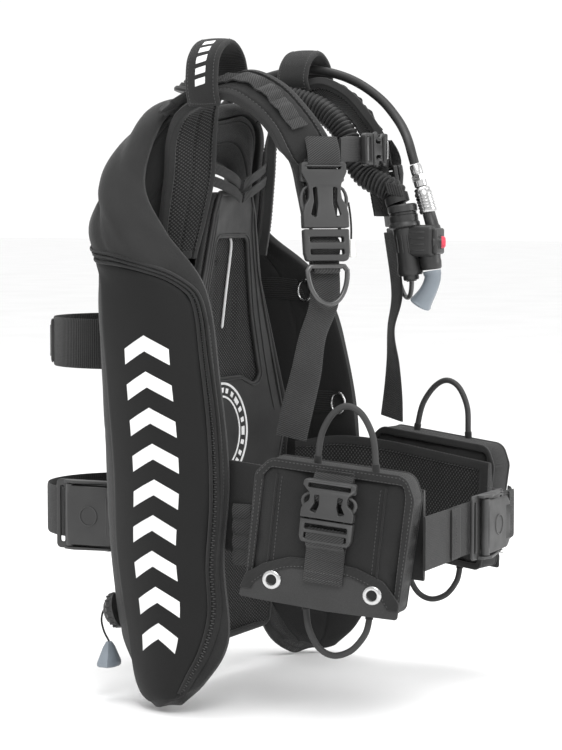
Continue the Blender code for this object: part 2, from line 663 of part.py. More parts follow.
def make_inflator():
    elbow_route = [(-14, 4, 286), (-10, -1, 292), (-2, -8, 293), (8, -15, 290), (16, -21, 287)]
    tube("hose_elbow", elbow_route, 11.0, RUBBER, points=8, sides=14)
    hose = [(17, -21.5, 286.6), (28, -31, 283), (40, -50, 280), (48, -78, 276), (51, -104, 268),
            (51, -122, 256), (50, -136, 241), (48, -144, 225), (46, -151, 210), (45, -163, 197),
            (45, -180, 189), (45, -192, 182), (45, -196.4, 171)]
    corrugated(hose, HOSE_RADIUS, 5.6, 1.6, RUBBER, "corrugated_hose")

    way = Vector(COUPLING_WAY).normalized()
    low = Vector(COUPLING_LOW)
    top = low + way * 62
    body = rod(12.5, INFLATOR_TOP, (46, -210, 100), sides=18)
    cuff = rod(14.0, (45, -198.0, 168.5), (45.3, -203.4, 150), sides=18)
    head = block((25, 34, 34), HEAD, 3.0)
    stem = rod(5.0, tuple(low - way * 12), tuple(top), sides=12)
    neck = rod(9.5, (48, -229, 124), (48, -231, 106), sides=14)
    bottom = Vector((46, -210, 100))
    down = (bottom - Vector(INFLATOR_TOP)).normalized()
    front_bore = rod(6.4, key_at(-2.0), key_at(8.0), sides=16)
    lower_bore = rod(8.4, tuple(bottom - down * 8), tuple(bottom + down * 2), sides=16)
    assemble("inflator_body", [body, cuff, head, stem, neck], [front_bore, lower_bore], PLASTIC)
    add_mesh("inflate_button", rod(6.0, key_at(2.0), key_at(9.5), sides=16), RED_PLASTIC)
    lower_key = rod(8.0, tuple(bottom - down * 3), tuple(bottom + down * 6), sides=16)
    add_mesh("deflate_button", lower_key, PLASTIC)
    mouth = [(48, -231.6, 104.6), (48, -232.4, 97), (48, -228, 85), (48, -219, 71)]
    tube("mouthpiece", mouth, [9.5, 9.0, 9.0, 10.5, 12.0, 12.5], GREY_PLASTIC, points=6, sides=14)
    collar = skin(tube_rings([tuple(low + way * 12), tuple(low + way * 16), tuple(low + way * 34),
                              tuple(low + way * 38)], [7.6, 8.6, 8.6, 7.6], 16))
    bore = rod(5.6, tuple(low + way * 8), tuple(low + way * 42), sides=16)
    assemble("coupling_collar", [collar], [bore], STEEL)


LP_ROUTE = [(52.0, -210.9, 210.5), (52.4, -207.8, 220), (61, -201, 231), (73, -191, 243), (85, -178, 256),
            (96, -159, 273), (103, -137, 288), (106, -115, 299), (106, -92, 306), (105, -69, 309),
            (106, -44, 307), (108, -16, 301), (110, 14, 288), (111, 42, 262), (109, 60, 230),
            (108, 68, 190), (108, 71, 145), (108, 71, 100), (108, 70, 55), (108, 69, 15), (108, 69, -12)]


def cord(name, route, diameter, look, points):
    """A round cord as a curve with filled caps."""
    curve = bpy.data.curves.new(name, "CURVE")
    curve.dimensions = "3D"
    curve.fill_mode = "FULL"
    curve.bevel_depth = diameter / 2 * MM
    curve.bevel_resolution = 2
    curve.use_fill_caps = True
    line = curve.splines.new("POLY")
    path = smooth(route, points)
    line.points.add(len(path) - 1)
    for point, place in zip(line.points, path):
        point.co = (*(place * MM), 1.0)
    made = bpy.data.objects.new(name, curve)
    bpy.context.scene.collection.objects.link(made)
    made.data.materials.append(material(name, look))
    return made


def make_supply_hose():
    cord("lp_hose", LP_ROUTE, LP_HOSE_DIAMETER, RUBBER, 40)
    x, y, z = LP_ROUTE[-1]
    sleeve = rod(7.0, (x, y, z - GAP), (x, y, z - 20), sides=14)
    nut = rod(9.0, (x, y, z - 18), (x, y, z - 30), sides=6)
    thread = rod(5.0, (x, y, z - 28), (x, y, z - 40), sides=14)
    assemble("lp_fitting", [sleeve, nut, thread], [], STEEL)


# --- dump valves --------------------------------------------------------------------------


def make_dump_valves():
    cap = rod(17.0, (-136, 20, -224), (-137, 28, -226), sides=20)
    dome = rod(13.0, (-137, 27, -226), (-137.5, 33, -227.5), sides=20)
    assemble("rear_dump_valve", [cap, dome], [], PLASTIC)
    hang = [(-137, 35.0, -222.6), (-137.5, 38, -228), (-139, 38.5, -236), (-141, 34.5, -246),
            (-141, 29, -255)]
    cord("rear_dump_cord", hang, CORD_DIAMETER, WEBBING, 8)
    knob("rear_dump_knob", (-141, 29, -255 - GAP), 5.0, 15.0, 24.0)
    chest = [(-56, -188, 172), (-56, -190, 160), (-56, -191, 148), (-56, -191, 137)]
    cord("shoulder_dump_cord", chest, CORD_DIAMETER, WEBBING, 8)
    knob("shoulder_dump_knob", (-56, -191, 137 - GAP), 4.0, 7.0, 17.0)


def knob(name, top, small, large, tall):
    """A tapered pull that widens towards its lower end."""
    x, y, z = top
    shoulder = small + 0.35 * (large - small)
    levels = [(0.0, small), (0.25, shoulder), (0.8, large), (0.92, large), (1.0, large * 0.75)]
    route = [(x, y, z - tall * share) for share, _ in levels]
    add_mesh(name, skin(tube_rings(route, [r for _, r in levels], 10)), GREY_PLASTIC)


def main():
    clear_scene()
    make_back()
    make_air_cell()
    make_shoulder_straps()
    make_hose_loops()
    make_chest_buckles()
    make_chest_webbing()
    make_d_rings()
    make_sternum()
    make_waist_pads()
    make_weight_pockets()
    make_pocket_buckles()
    make_waist_belt()
    make_waist_buckle()
    make_cylinder_bands()
    make_tank_buckle()
    make_accessory_loops()
    make_inflator()
    make_supply_hose()
    make_dump_valves()


main()
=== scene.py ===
"""A diver's buoyancy compensator vest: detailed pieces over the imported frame.

X = 0 is the plane of symmetry, +X the wearer's left, the wearer faces -Y and +Z is up.
Shapes are worked out in millimetres and become metres when a piece is made.
"""
import math

import bmesh
import bpy
import numpy as np
from mathutils import Matrix, Vector
from mathutils.bvhtree import BVHTree


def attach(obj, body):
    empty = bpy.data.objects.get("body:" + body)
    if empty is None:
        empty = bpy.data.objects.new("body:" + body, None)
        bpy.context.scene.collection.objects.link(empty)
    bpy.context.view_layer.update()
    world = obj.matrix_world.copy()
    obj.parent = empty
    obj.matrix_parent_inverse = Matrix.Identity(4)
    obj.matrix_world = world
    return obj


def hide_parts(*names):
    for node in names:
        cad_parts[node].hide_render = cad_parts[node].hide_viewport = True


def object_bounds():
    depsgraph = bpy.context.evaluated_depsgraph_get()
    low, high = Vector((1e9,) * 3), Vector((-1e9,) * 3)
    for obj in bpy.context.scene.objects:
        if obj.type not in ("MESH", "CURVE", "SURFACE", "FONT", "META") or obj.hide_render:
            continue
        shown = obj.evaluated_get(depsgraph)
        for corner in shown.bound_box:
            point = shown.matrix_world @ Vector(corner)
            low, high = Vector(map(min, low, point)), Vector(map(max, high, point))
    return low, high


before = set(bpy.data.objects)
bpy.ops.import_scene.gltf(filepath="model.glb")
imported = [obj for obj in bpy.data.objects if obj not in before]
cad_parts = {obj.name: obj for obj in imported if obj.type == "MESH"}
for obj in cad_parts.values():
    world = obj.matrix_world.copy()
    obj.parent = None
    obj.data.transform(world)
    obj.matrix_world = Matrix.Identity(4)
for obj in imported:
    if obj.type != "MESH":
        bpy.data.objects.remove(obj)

MM = 0.001
FULL_TURN = 6.283  # radians
SIDES = {"right": -1, "left": 1}
CAD_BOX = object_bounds()


# --- shapes -------------------------------------------------------------------------------


def smooth(points, count):
    """count points at even steps along a smooth curve through the given points."""
    given = np.array(points, float)
    if len(given) == 2:
        share = np.linspace(0, 1, count)[:, None]
        return given[0] * (1 - share) + given[1] * share
    padded = np.vstack([2 * given[0] - given[1], given, 2 * given[-1] - given[-2]])
    steps = 24
    t = (np.arange(steps) / steps)[:, None]
    fine = []
    for i in range(1, len(padded) - 2):
        before, here, there, after = padded[i - 1 : i + 3]
        line = 2 * here + (there - before) * t
        bend = (2 * before - 5 * here + 4 * there - after) * t**2
        turn = (3 * here - before - 3 * there + after) * t**3
        fine.append((line + bend + turn) / 2)
    fine.append(given[-1:])
    fine = np.vstack(fine)
    run = np.concatenate([[0], np.cumsum(np.linalg.norm(np.diff(fine, axis=0), axis=1))])
    even = np.linspace(0, run[-1], count)
    return np.stack([np.interp(even, run, fine[:, k]) for k in range(fine.shape[1])], axis=1)


def sample(points, shares):
    """Points of the smooth curve at the given shares of its length."""
    fine = smooth(points, 241)
    at = np.asarray(shares, float) * 240
    return np.stack([np.interp(at, np.arange(241), fine[:, k]) for k in range(fine.shape[1])], axis=1)


def mirrored(points, side):
    return [(side * x, y, z) for x, y, z in points]


def edge_shares(count, mix=0.6):
    """Shares from 0 to 1 that lie closer together near both ends."""
    t = np.linspace(0, 1, count + 1)
    return mix * 0.5 * (1 - np.cos(math.pi * t)) + (1 - mix) * t


def sheet_grid(rows, along, shares):
    """A grid of points over the smooth surface through rows of points."""
    grid = np.array([sample(row, shares) for row in rows])
    grid = np.array([smooth(grid[:, j], along + 1) for j in range(len(shares))])
    return grid.transpose(1, 0, 2)


def normals(grid):
    normal = np.cross(np.gradient(grid, axis=0), np.gradient(grid, axis=1))
    return normal / np.maximum(np.linalg.norm(normal, axis=2, keepdims=True), 1e-9)


def arc(points):
    steps = np.linalg.norm(np.diff(points, axis=0), axis=1)
    return np.concatenate([[0.0], np.cumsum(steps)])


class Build:
    """Closed bodies gathered into one mesh, with UVs in metres and a material index a face."""

    def __init__(self):
        self.points, self.faces, self.uvs, self.looks = [], [], [], []

    def add(self, points, faces, uvs, looks):
        points = np.asarray(points, float)
        middle = points.mean(axis=0)
        volume = 0.0
        for face in faces:
            a = points[face[0]] - middle
            for i in range(1, len(face) - 1):
                b, c = points[face[i]] - middle, points[face[i + 1]] - middle
                volume += (
                    a[0] * (b[1] * c[2] - b[2] * c[1])
                    + a[1] * (b[2] * c[0] - b[0] * c[2])
                    + a[2] * (b[0] * c[1] - b[1] * c[0])
                )
        start = sum(len(p) for p in self.points)
        self.points.append(points)
        for face, uv, look in zip(faces, uvs, looks):
            ring = [start + i for i in face]
            if volume < 0:
                ring, uv = ring[::-1], uv[::-1]
            self.faces.append(ring)
            self.uvs.append(uv)
            self.looks.append(look)

    def skin(self, rings, closed=False, look=0, looks=None, strip=False):
        """A closed body over rings of points; strip caps suit the ends of a flat pad."""
        rings = np.asarray(rings, float)
        n, m, _ = rings.shape
        spans = n if closed else n - 1
        around = np.array([arc(np.vstack([ring, ring[:1]])) for ring in rings]) * MM
        around = np.broadcast_to(around.mean(axis=0), around.shape)
        run = arc(rings.mean(axis=1) if not strip else rings[:, m // 4]) * MM
        run = np.append(run, run[-1] + np.linalg.norm(rings[-1].mean(0) - rings[0].mean(0)) * MM)
        faces, uvs, kinds = [], [], []
        for i in range(spans):
            k = (i + 1) % n
            for j in range(m):
                q = (j + 1) % m
                faces.append([i * m + j, i * m + q, k * m + q, k * m + j])
                left, right = around[i][j], around[i][j + 1]
                uvs.append([(left, run[i]), (right, run[i]), (right, run[i + 1]), (left, run[i + 1])])
                kinds.append(look if looks is None else int(looks[i][j]))
        if not closed:
            for i in (0, n - 1):
                if strip:
                    half = m // 2
                    for j in range(half - 1):
                        ring = [i * m + j, i * m + j + 1, i * m + m - 2 - j, i * m + m - 1 - j]
                        ring = ring[::-1] if i == 0 else ring
                        faces.append(ring)
                        uvs.append([(around[i][k % m], run[i] + 0.001 * (k >= half))
                                    for k in (r - i * m for r in ring)])
                        kinds.append(look if looks is None else int(looks[min(i, n - 2)][j]))
                else:
                    ring = [i * m + j for j in range(m)]
                    ring = ring[::-1] if i == 0 else ring
                    faces.append(ring)
                    flat = [(0.002 * math.cos(FULL_TURN * j / m), 0.002 * math.sin(FULL_TURN * j / m))
                            for j in range(m)]
                    uvs.append(flat)
                    kinds.append(look if looks is None else int(looks[min(i, n - 2)][0]))
        self.add(rings.reshape(-1, 3), faces, uvs, kinds)

    def cushion(self, grid, front, rear, face=0, back=0, looks=None, flip=False):
        """A closed pad around a grid, front and rear giving its height on each side."""
        normal = normals(grid) * (-1 if flip else 1)
        top = grid + normal * np.asarray(front)[..., None]
        low = grid - normal * np.asarray(rear)[..., None]
        rings = np.concatenate([top, low[:, ::-1]], axis=1)
        n, m = grid.shape[:2]
        kinds = np.full((n, 2 * m), face)
        kinds[:, m:-1] = back
        if looks is not None:
            kinds[:, : m - 1] = looks
        self.skin(rings, looks=kinds, strip=True)

    def tube(self, route, radius, points=24, sides=12, look=0, closed=False, flat=1.0, guide=None):
        path = smooth(route, points) if points else np.array(route, float)
        self.skin(tube_rings(path, radius, sides, closed, flat, guide), closed=closed, look=look)

    def ribbon(self, route, widths, thick, along=24, look=0, lift=None, flip=False):
        """A flat woven strap along a route, its width given as a vector at each point."""
        centre, width = np.array(route, float), np.array(widths, float)
        rows = [(c - w / 2, c, c + w / 2) for c, w in zip(centre, width)]
        shares = np.array([0, 0.025, 0.08, 0.3, 0.5, 0.7, 0.92, 0.975, 1.0])
        grid = sheet_grid(rows, along, shares)
        height = np.array([0.3, 0.75, 1.0, 1.0, 1.0, 1.0, 1.0, 0.75, 0.3]) * thick / 2
        height = np.broadcast_to(height, grid.shape[:2])
        if lift is not None:
            grid = grid + normals(grid) * np.asarray(lift)[:, None, None]
        self.cushion(grid, height, height, look, look, flip=flip)
        return grid

    def block(self, size, centre, bevel=0.8, place=None, look=0, segments=2):
        made = bmesh.new()
        bmesh.ops.create_cube(made, size=1.0)
        bmesh.ops.scale(made, vec=size, verts=made.verts)
        bmesh.ops.bevel(made, geom=made.edges[:], offset=bevel, segments=segments, affect="EDGES",
                        profile=0.5)
        bmesh.ops.translate(made, vec=centre, verts=made.verts)
        if place is not None:
            bmesh.ops.transform(made, matrix=place, verts=made.verts)
        self.take(made, look)

    def take(self, made, look=0, uv=None):
        """Everything in a bmesh; uv gives a point's UV, in millimetres."""
        made.verts.index_update()
        points = np.array([tuple(v.co) for v in made.verts])
        faces = [[v.index for v in f.verts] for f in made.faces]
        uvs = []
        for f in made.faces:
            way = max(range(3), key=lambda k: abs(f.normal[k]))
            keep = [k for k in range(3) if k != way]
            uvs.append([(v.co[keep[0]] * MM, v.co[keep[1]] * MM) for v in f.verts])
        if uv is not None:
            uvs = [[uv[i] for i in face] for face in faces]
        self.add(points, faces, uvs, [look] * len(faces))
        made.free()

    def lathe(self, start, end, profile, sides=24, look=0):
        """A turned body: profile lists (share of the way, radius)."""
        start, end = np.array(start, float), np.array(end, float)
        route = [start + (end - start) * share for share, _ in profile]
        way = (end - start) / np.linalg.norm(end - start)
        guide = np.array([0.0, 0.0, 1.0]) if abs(way[2]) < 0.9 else np.array([1.0, 0.0, 0.0])
        across = np.cross(way, guide)
        across /= np.linalg.norm(across)
        up = np.cross(way, across)
        turns = np.arange(sides) * 2 * math.pi / sides
        ring = np.cos(turns)[:, None] * across + np.sin(turns)[:, None] * up
        self.skin([p + ring * r for p, (_, r) in zip(route, profile)], look=look)

    def stitches(self, line, normal, look=0, step=3.6, size=0.4, share=0.64, lift=0.15):
        """A row of short thread stitches along a line that lies on a surface."""
        line = np.asarray(line, float)
        normal = np.broadcast_to(np.asarray(normal, float), line.shape)
        run = arc(line)
        for start in np.arange(step * 0.5, run[-1] - step, step):
            at = np.array([start, start + step * share * 0.5, start + step * share])
            mid = np.stack([np.interp(at, run, line[:, k]) for k in range(3)], axis=1)
            up = np.stack([np.interp(at, run, normal[:, k]) for k in range(3)], axis=1)
            up /= np.maximum(np.linalg.norm(up, axis=1, keepdims=True), 1e-9)
            way = mid[2] - mid[0]
            way /= max(np.linalg.norm(way), 1e-9)
            side = np.cross(up[1], way)
            rings = []
            for p, u, r, h in zip(mid, up, (0.5, 1.0, 0.5), (-0.2, lift, -0.2)):
                c = p + u * h
                rings.append([c + side * size * r, c + u * size * r, c - side * size * r, c - u * size * r])
            self.skin(rings, look=look)

    def make(self, name, looks, body="vest", angle=40):
        mesh = bpy.data.meshes.new(name)
        points = np.vstack(self.points) * MM
        mesh.from_pydata(points.tolist(), [], self.faces)
        layer = mesh.uv_layers.new(name="metres")
        flat = np.array([c for uv in self.uvs for c in uv]).ravel()
        layer.data.foreach_set("uv", flat)
        mesh.polygons.foreach_set("material_index", self.looks)
        for look in looks:
            mesh.materials.append(look)
        mesh.shade_smooth()
        mesh.set_sharp_from_angle(angle=math.radians(angle))
        made = bpy.data.objects.new(name, mesh)
        bpy.context.scene.collection.objects.link(made)
        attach(made, body)
        return made


def tube_rings(path, radius, sides, closed=False, flat=1.0, guide=None):
    """Sections square to a path; flat squeezes them along the guide direction."""
    path = np.array(path, float)
    radius = np.broadcast_to(np.array(radius, float), len(path))
    if closed:
        ahead = np.roll(path, -1, axis=0) - np.roll(path, 1, axis=0)
    else:
        ahead = np.gradient(path, axis=0)
    ahead /= np.linalg.norm(ahead, axis=1, keepdims=True)
    first = np.array([0.0, 0.0, 1.0]) if abs(ahead[0][2]) < 0.9 else np.array([1.0, 0.0, 0.0])
    across = np.cross(ahead[0], first)
    turns = np.arange(sides) * 2 * math.pi / sides
    rings = []
    for i, (point, way, size) in enumerate(zip(path, ahead, radius)):
        if guide is not None:
            up = np.broadcast_to(np.asarray(guide, float), path.shape)[i]
            up = up - way * np.dot(up, way)
            up /= np.linalg.norm(up)
            across = np.cross(up, way)
        else:
            across = across - way * np.dot(across, way)
            across /= np.linalg.norm(across)
            up = np.cross(way, across)
        rings.append(point + size * (np.cos(turns)[:, None] * across + flat * np.sin(turns)[:, None] * up))
    return rings


def frame_of(origin, across, up):
    """A local frame: x across, z up, y pointing out of the face."""
    x = Vector(across).normalized()
    z = Vector(up)
    z = (z - x * z.dot(x)).normalized()
    y = z.cross(x)
    turn = Matrix((x, y, z)).transposed().to_4x4()
    return Matrix.Translation(Vector(origin)) @ turn


def moved(place, points):
    """Local points in the vest's frame."""
    return np.array([tuple(place @ Vector(p)) for p in points])


def turned(place, way):
    return np.array(place.to_3x3() @ Vector(way))


def rounded(corners, radius, steps=6):
    """A closed outline whose corners are turned into arcs of the given radius."""
    outline = []
    count = len(corners)
    radii = radius if isinstance(radius, (list, tuple)) else [radius] * count
    for i in range(count):
        here = Vector(corners[i])
        before = (Vector(corners[i - 1]) - here).normalized()
        after = (Vector(corners[(i + 1) % count]) - here).normalized()
        half = before.angle(after) / 2
        cut = radii[i] / math.tan(half)
        centre = here + (before + after).normalized() * radii[i] / math.sin(half)
        start = here + before * cut - centre
        end = here + after * cut - centre
        for k in range(steps + 1):
            way = start.lerp(end, k / steps)
            outline.append(tuple(centre + way.normalized() * radii[i]))
    return outline


def inset(outline, by):
    """A closed outline moved inwards by a distance."""
    points = np.array(outline, float)
    ahead = np.roll(points, -1, axis=0) - np.roll(points, 1, axis=0)
    ahead /= np.maximum(np.linalg.norm(ahead, axis=1, keepdims=True), 1e-9)
    area = np.sum(points[:, 0] * np.roll(points[:, 1], -1) - points[:, 1] * np.roll(points[:, 0], -1))
    side = np.stack([-ahead[:, 1], ahead[:, 0]], axis=1) * np.sign(area)
    return [tuple(p) for p in points + side * by]


def plate(build, outlines, thick, bevel, bend, step=400.0, look=0):
    """A plate with rounded edges from flat outlines, bent so that (u, v, w) lies at bend(u, v, w)."""
    curve = bpy.data.curves.new("outline", "CURVE")
    curve.dimensions = "2D"
    curve.fill_mode = "BOTH"
    curve.extrude = max(thick / 2 - bevel, 0.01)
    curve.bevel_depth = bevel
    curve.bevel_resolution = 2
    curve.offset = -bevel
    for outline in outlines:
        line = curve.splines.new("POLY")
        line.points.add(len(outline) - 1)
        for point, (u, v) in zip(line.points, outline):
            point.co = (u, v, 0, 1)
        line.use_cyclic_u = True
    holder = bpy.data.objects.new("outline", curve)
    bpy.context.scene.collection.objects.link(holder)
    graph = bpy.context.evaluated_depsgraph_get()
    flat = bpy.data.meshes.new_from_object(holder.evaluated_get(graph))
    bpy.data.objects.remove(holder)
    made = bmesh.new()
    made.from_mesh(flat)
    bpy.data.meshes.remove(flat)
    bmesh.ops.remove_doubles(made, verts=made.verts, dist=0.004)
    low = [min(v.co[k] for v in made.verts) for k in range(2)]
    high = [max(v.co[k] for v in made.verts) for k in range(2)]
    for axis in range(2):
        for at in np.arange(low[axis] + step * 0.73, high[axis] - 1.0, step):
            where, facing = [0.0] * 3, [0.0] * 3
            where[axis], facing[axis] = at, 1.0
            everything = made.verts[:] + made.edges[:] + made.faces[:]
            bmesh.ops.bisect_plane(made, geom=everything, plane_co=where, plane_no=facing)
    bmesh.ops.triangulate(made, faces=made.faces)
    bmesh.ops.recalc_face_normals(made, faces=made.faces)
    uv = [(v.co.x * MM, (v.co.y + v.co.z) * MM) for v in made.verts]
    for v in made.verts:
        v.co = bend(v.co.x, v.co.y, v.co.z)
    build.take(made, look, uv)


def flat_on(place, lift=0.0):
    """For plates: (u, v) on a local frame's x-z plane, w being the height along its y."""
    return lambda u, v, w: place @ Vector((u, lift + w, v))


class Sheet:
    """The outer skin of a grid, where details are placed by shares across and along."""

    def __init__(self, grid, height, flip=False):
        self.normal = normals(grid) * (-1 if flip else 1)
        self.grid = grid + self.normal * np.asarray(height)[..., None]

    def at(self, u, v, lift=0.0):
        n, m = self.grid.shape[:2]
        u = np.clip(np.asarray(u, float), 0, 1) * (m - 1)
        v = np.clip(np.asarray(v, float), 0, 1) * (n - 1)
        u, v = np.broadcast_arrays(u, v)
        i = np.minimum(v.astype(int), n - 2)
        j = np.minimum(u.astype(int), m - 2)
        fv, fu = (v - i)[..., None], (u - j)[..., None]

        def mix(a):
            low = a[i, j] * (1 - fu) + a[i, j + 1] * fu
            high = a[i + 1, j] * (1 - fu) + a[i + 1, j + 1] * fu
            return low * (1 - fv) + high * fv

        way = mix(self.normal)
        way /= np.linalg.norm(way, axis=-1, keepdims=True)
        return mix(self.grid) + way * np.asarray(lift)[..., None], way

    def patch(self, build, region, across, along, thick, lift=0.0, sink=0.6, look=0, rim=0.16, power=0.5):
        """A thin raised body on the skin; region maps (a, b) in 0..1 to shares."""
        a, b = np.meshgrid(edge_shares(across, 0.9), edge_shares(along, 0.5))
        u, v = region(a, b)
        edge = np.minimum(np.minimum(a, 1 - a) / rim, 1.0)
        edge = np.minimum(edge, np.minimum(b, 1 - b) / rim * 3.0)
        height = thick * np.clip(edge, 0, 1) ** power
        top, _ = self.at(u, v, lift + height)
        low, _ = self.at(u, v, lift - sink)
        rings = np.concatenate([top, low[:, ::-1]], axis=1)
        build.skin(rings, look=look, strip=True)


# --- materials ----------------------------------------------------------------------------


class Tree:
    """Short calls for building a material's node tree."""

    def __init__(self, name):
        self.material = bpy.data.materials.new(name)
        self.material.use_nodes = True
        self.tree = self.material.node_tree
        self.shader = self.tree.nodes["Principled BSDF"]

    def node(self, kind, inputs=(), **settings):
        made = self.tree.nodes.new(kind)
        for key, value in settings.items():
            setattr(made, key, value)
        for key, value in dict(inputs).items():
            if isinstance(value, bpy.types.NodeSocket):
                self.tree.links.new(value, made.inputs[key])
            else:
                made.inputs[key].default_value = value
        return made

    def math(self, operation, a, b=0.0, clamp=False):
        return self.node("ShaderNodeMath", {0: a, 1: b}, operation=operation, use_clamp=clamp).outputs[0]

    def wave(self, value, share=0.0):
        """A sine of a phase in turns, from 0 to 1."""
        phase = self.math("MULTIPLY", self.math("ADD", value, share), 2 * math.pi)
        return self.math("MULTIPLY_ADD", self.math("SINE", phase), 0.5)

    def mix(self, share, a, b):
        made = self.node("ShaderNodeMix", data_type="RGBA")
        self.put(made.inputs["Factor"], share)
        self.put(made.inputs[6], a)
        self.put(made.inputs[7], b)
        return made.outputs[2]

    def put(self, socket, value):
        if isinstance(value, bpy.types.NodeSocket):
            self.tree.links.new(value, socket)
        else:
            socket.default_value = value

    def noise(self, scale, detail=3.0, stretch=(1.0, 1.0, 1.0), uv=False):
        kind = "UV" if uv else "Object"
        place = self.node("ShaderNodeTexCoord").outputs[kind]
        place = self.node("ShaderNodeVectorMath", {0: place, 1: stretch}, operation="MULTIPLY").outputs[0]
        made = self.node("ShaderNodeTexNoise", {"Vector": place, "Scale": scale, "Detail": detail})
        return made.outputs["Fac"]

    def span(self, value, low, high, to_low=0.0, to_high=1.0):
        numbers = {"Value": value, "From Min": low, "From Max": high, "To Min": to_low, "To Max": to_high}
        return self.node("ShaderNodeMapRange", numbers).outputs[0]

    def grid(self, across, along):
        """The UV place in turns of a pattern, its pitches in millimetres."""
        place = self.node("ShaderNodeUVMap", uv_map="metres").outputs[0]
        size = (1000.0 / across, 1000.0 / along, 1.0)
        scaled = self.node("ShaderNodeVectorMath", {0: place, 1: size}, operation="MULTIPLY").outputs[0]
        parts = self.node("ShaderNodeSeparateXYZ", {0: scaled})
        return parts.outputs[0], parts.outputs[1]

    def plain_weave(self, across, along):
        x, y = self.grid(across, along)
        first, second = self.wave(x), self.wave(y)
        over = self.math("MULTIPLY", first, second)
        under = self.math("MULTIPLY", self.math("SUBTRACT", 1.0, first), self.math("SUBTRACT", 1.0, second))
        return self.math("ADD", over, under, clamp=True)

    def twill(self, across, along):
        """Slanted ribs, as narrow webbing shows, with the crossing yarn between."""
        x, y = self.grid(across, along)
        rib = self.wave(self.math("ADD", x, y))
        yarn = self.wave(self.math("MULTIPLY", x, 3.0))
        return self.math("ADD", self.math("MULTIPLY", rib, 0.75), self.math("MULTIPLY", yarn, 0.25))

    def spacer(self, across, along):
        """Diamond rows of small raised loops, as spacer mesh shows."""
        x, y = self.grid(across, along)
        first = self.wave(self.math("ADD", x, y))
        second = self.wave(self.math("SUBTRACT", x, y))
        return self.math("POWER", self.math("MULTIPLY", first, second), 0.8)

    def ribs(self, across, along):
        x, y = self.grid(across, along)
        fine = self.math("MULTIPLY", self.wave(x), 0.25)
        return self.math("ADD", self.math("MULTIPLY", self.wave(y), 0.75), fine)

    def bump(self, height, strength, depth, below=None):
        numbers = {"Strength": strength, "Distance": depth, "Height": height}
        if below is not None:
            numbers["Normal"] = below
        return self.node("ShaderNodeBump", numbers).outputs[0]


def cloth_look(name, dark, light, weave, pitch, rough=0.85, depth=0.0004, sheen=0.15, strength=0.7,
               blotch=0.25, creases=0.0):
    """A woven or knitted finish: threads, uneven dye, soft wear and roughness."""
    t = Tree(name)
    threads = getattr(t, weave)(*pitch)
    colour = t.mix(threads, (*dark, 1), (*light, 1))
    uneven = t.span(t.noise(14.0, 4.0), 0.3, 0.7, 1.0 - blotch, 1.0 + blotch)
    fuzz = t.span(t.noise(900.0, 2.0), 0.25, 0.75, 0.85, 1.15)
    both = t.math("MULTIPLY", uneven, fuzz)
    shade = t.node("ShaderNodeVectorMath", {0: colour, "Scale": both}, operation="SCALE").outputs[0]
    t.put(t.shader.inputs["Base Color"], shade)
    t.put(t.shader.inputs["Roughness"], t.span(threads, 0.0, 1.0, min(rough + 0.1, 1.0), rough - 0.08))
    t.shader.inputs["Sheen Weight"].default_value = sheen
    t.shader.inputs["Sheen Roughness"].default_value = 0.5
    t.shader.inputs["Specular IOR Level"].default_value = 0.25
    soft = t.noise(45.0, 5.0)
    below = t.bump(soft, 0.35 + creases, 0.0012)
    t.put(t.shader.inputs["Normal"], t.bump(threads, strength, depth, below))
    return t.material


def solid_look(name, colour, worn, rough=0.42, grain=700.0, depth=0.00008, metallic=0.0, coat=0.0,
               specular=0.5, stretch=(1.0, 1.0, 1.0), wear=0.5):
    """A moulded or metal finish: fine grain, handling marks and paler worn edges."""
    t = Tree(name)
    edge = t.node("ShaderNodeNewGeometry").outputs["Pointiness"]
    edge = t.span(edge, 0.515, 0.58)
    scuffs = t.span(t.noise(38.0, 6.0, stretch), 0.45, 0.7)
    share = t.math("MULTIPLY", edge, t.span(scuffs, 0.0, 1.0, 0.35 * wear, wear))
    tone = t.span(t.noise(24.0, 4.0, stretch), 0.3, 0.7, 0.86, 1.14)
    base = t.node("ShaderNodeVectorMath", {0: colour, "Scale": tone}, operation="SCALE").outputs[0]
    t.put(t.shader.inputs["Base Color"], t.mix(share, base, (*worn, 1)))
    marks = t.span(t.noise(60.0, 6.0, stretch), 0.3, 0.75, rough - 0.07, rough + 0.1)
    t.put(t.shader.inputs["Roughness"], marks)
    t.shader.inputs["Metallic"].default_value = metallic
    t.shader.inputs["Coat Weight"].default_value = coat
    t.shader.inputs["Specular IOR Level"].default_value = specular
    t.put(t.shader.inputs["Normal"], t.bump(t.noise(grain, 2.0, stretch), 0.5, depth))
    return t.material


def grey(value, warm=0.0):
    return (value * (1 + warm), value, value * (1 - warm))


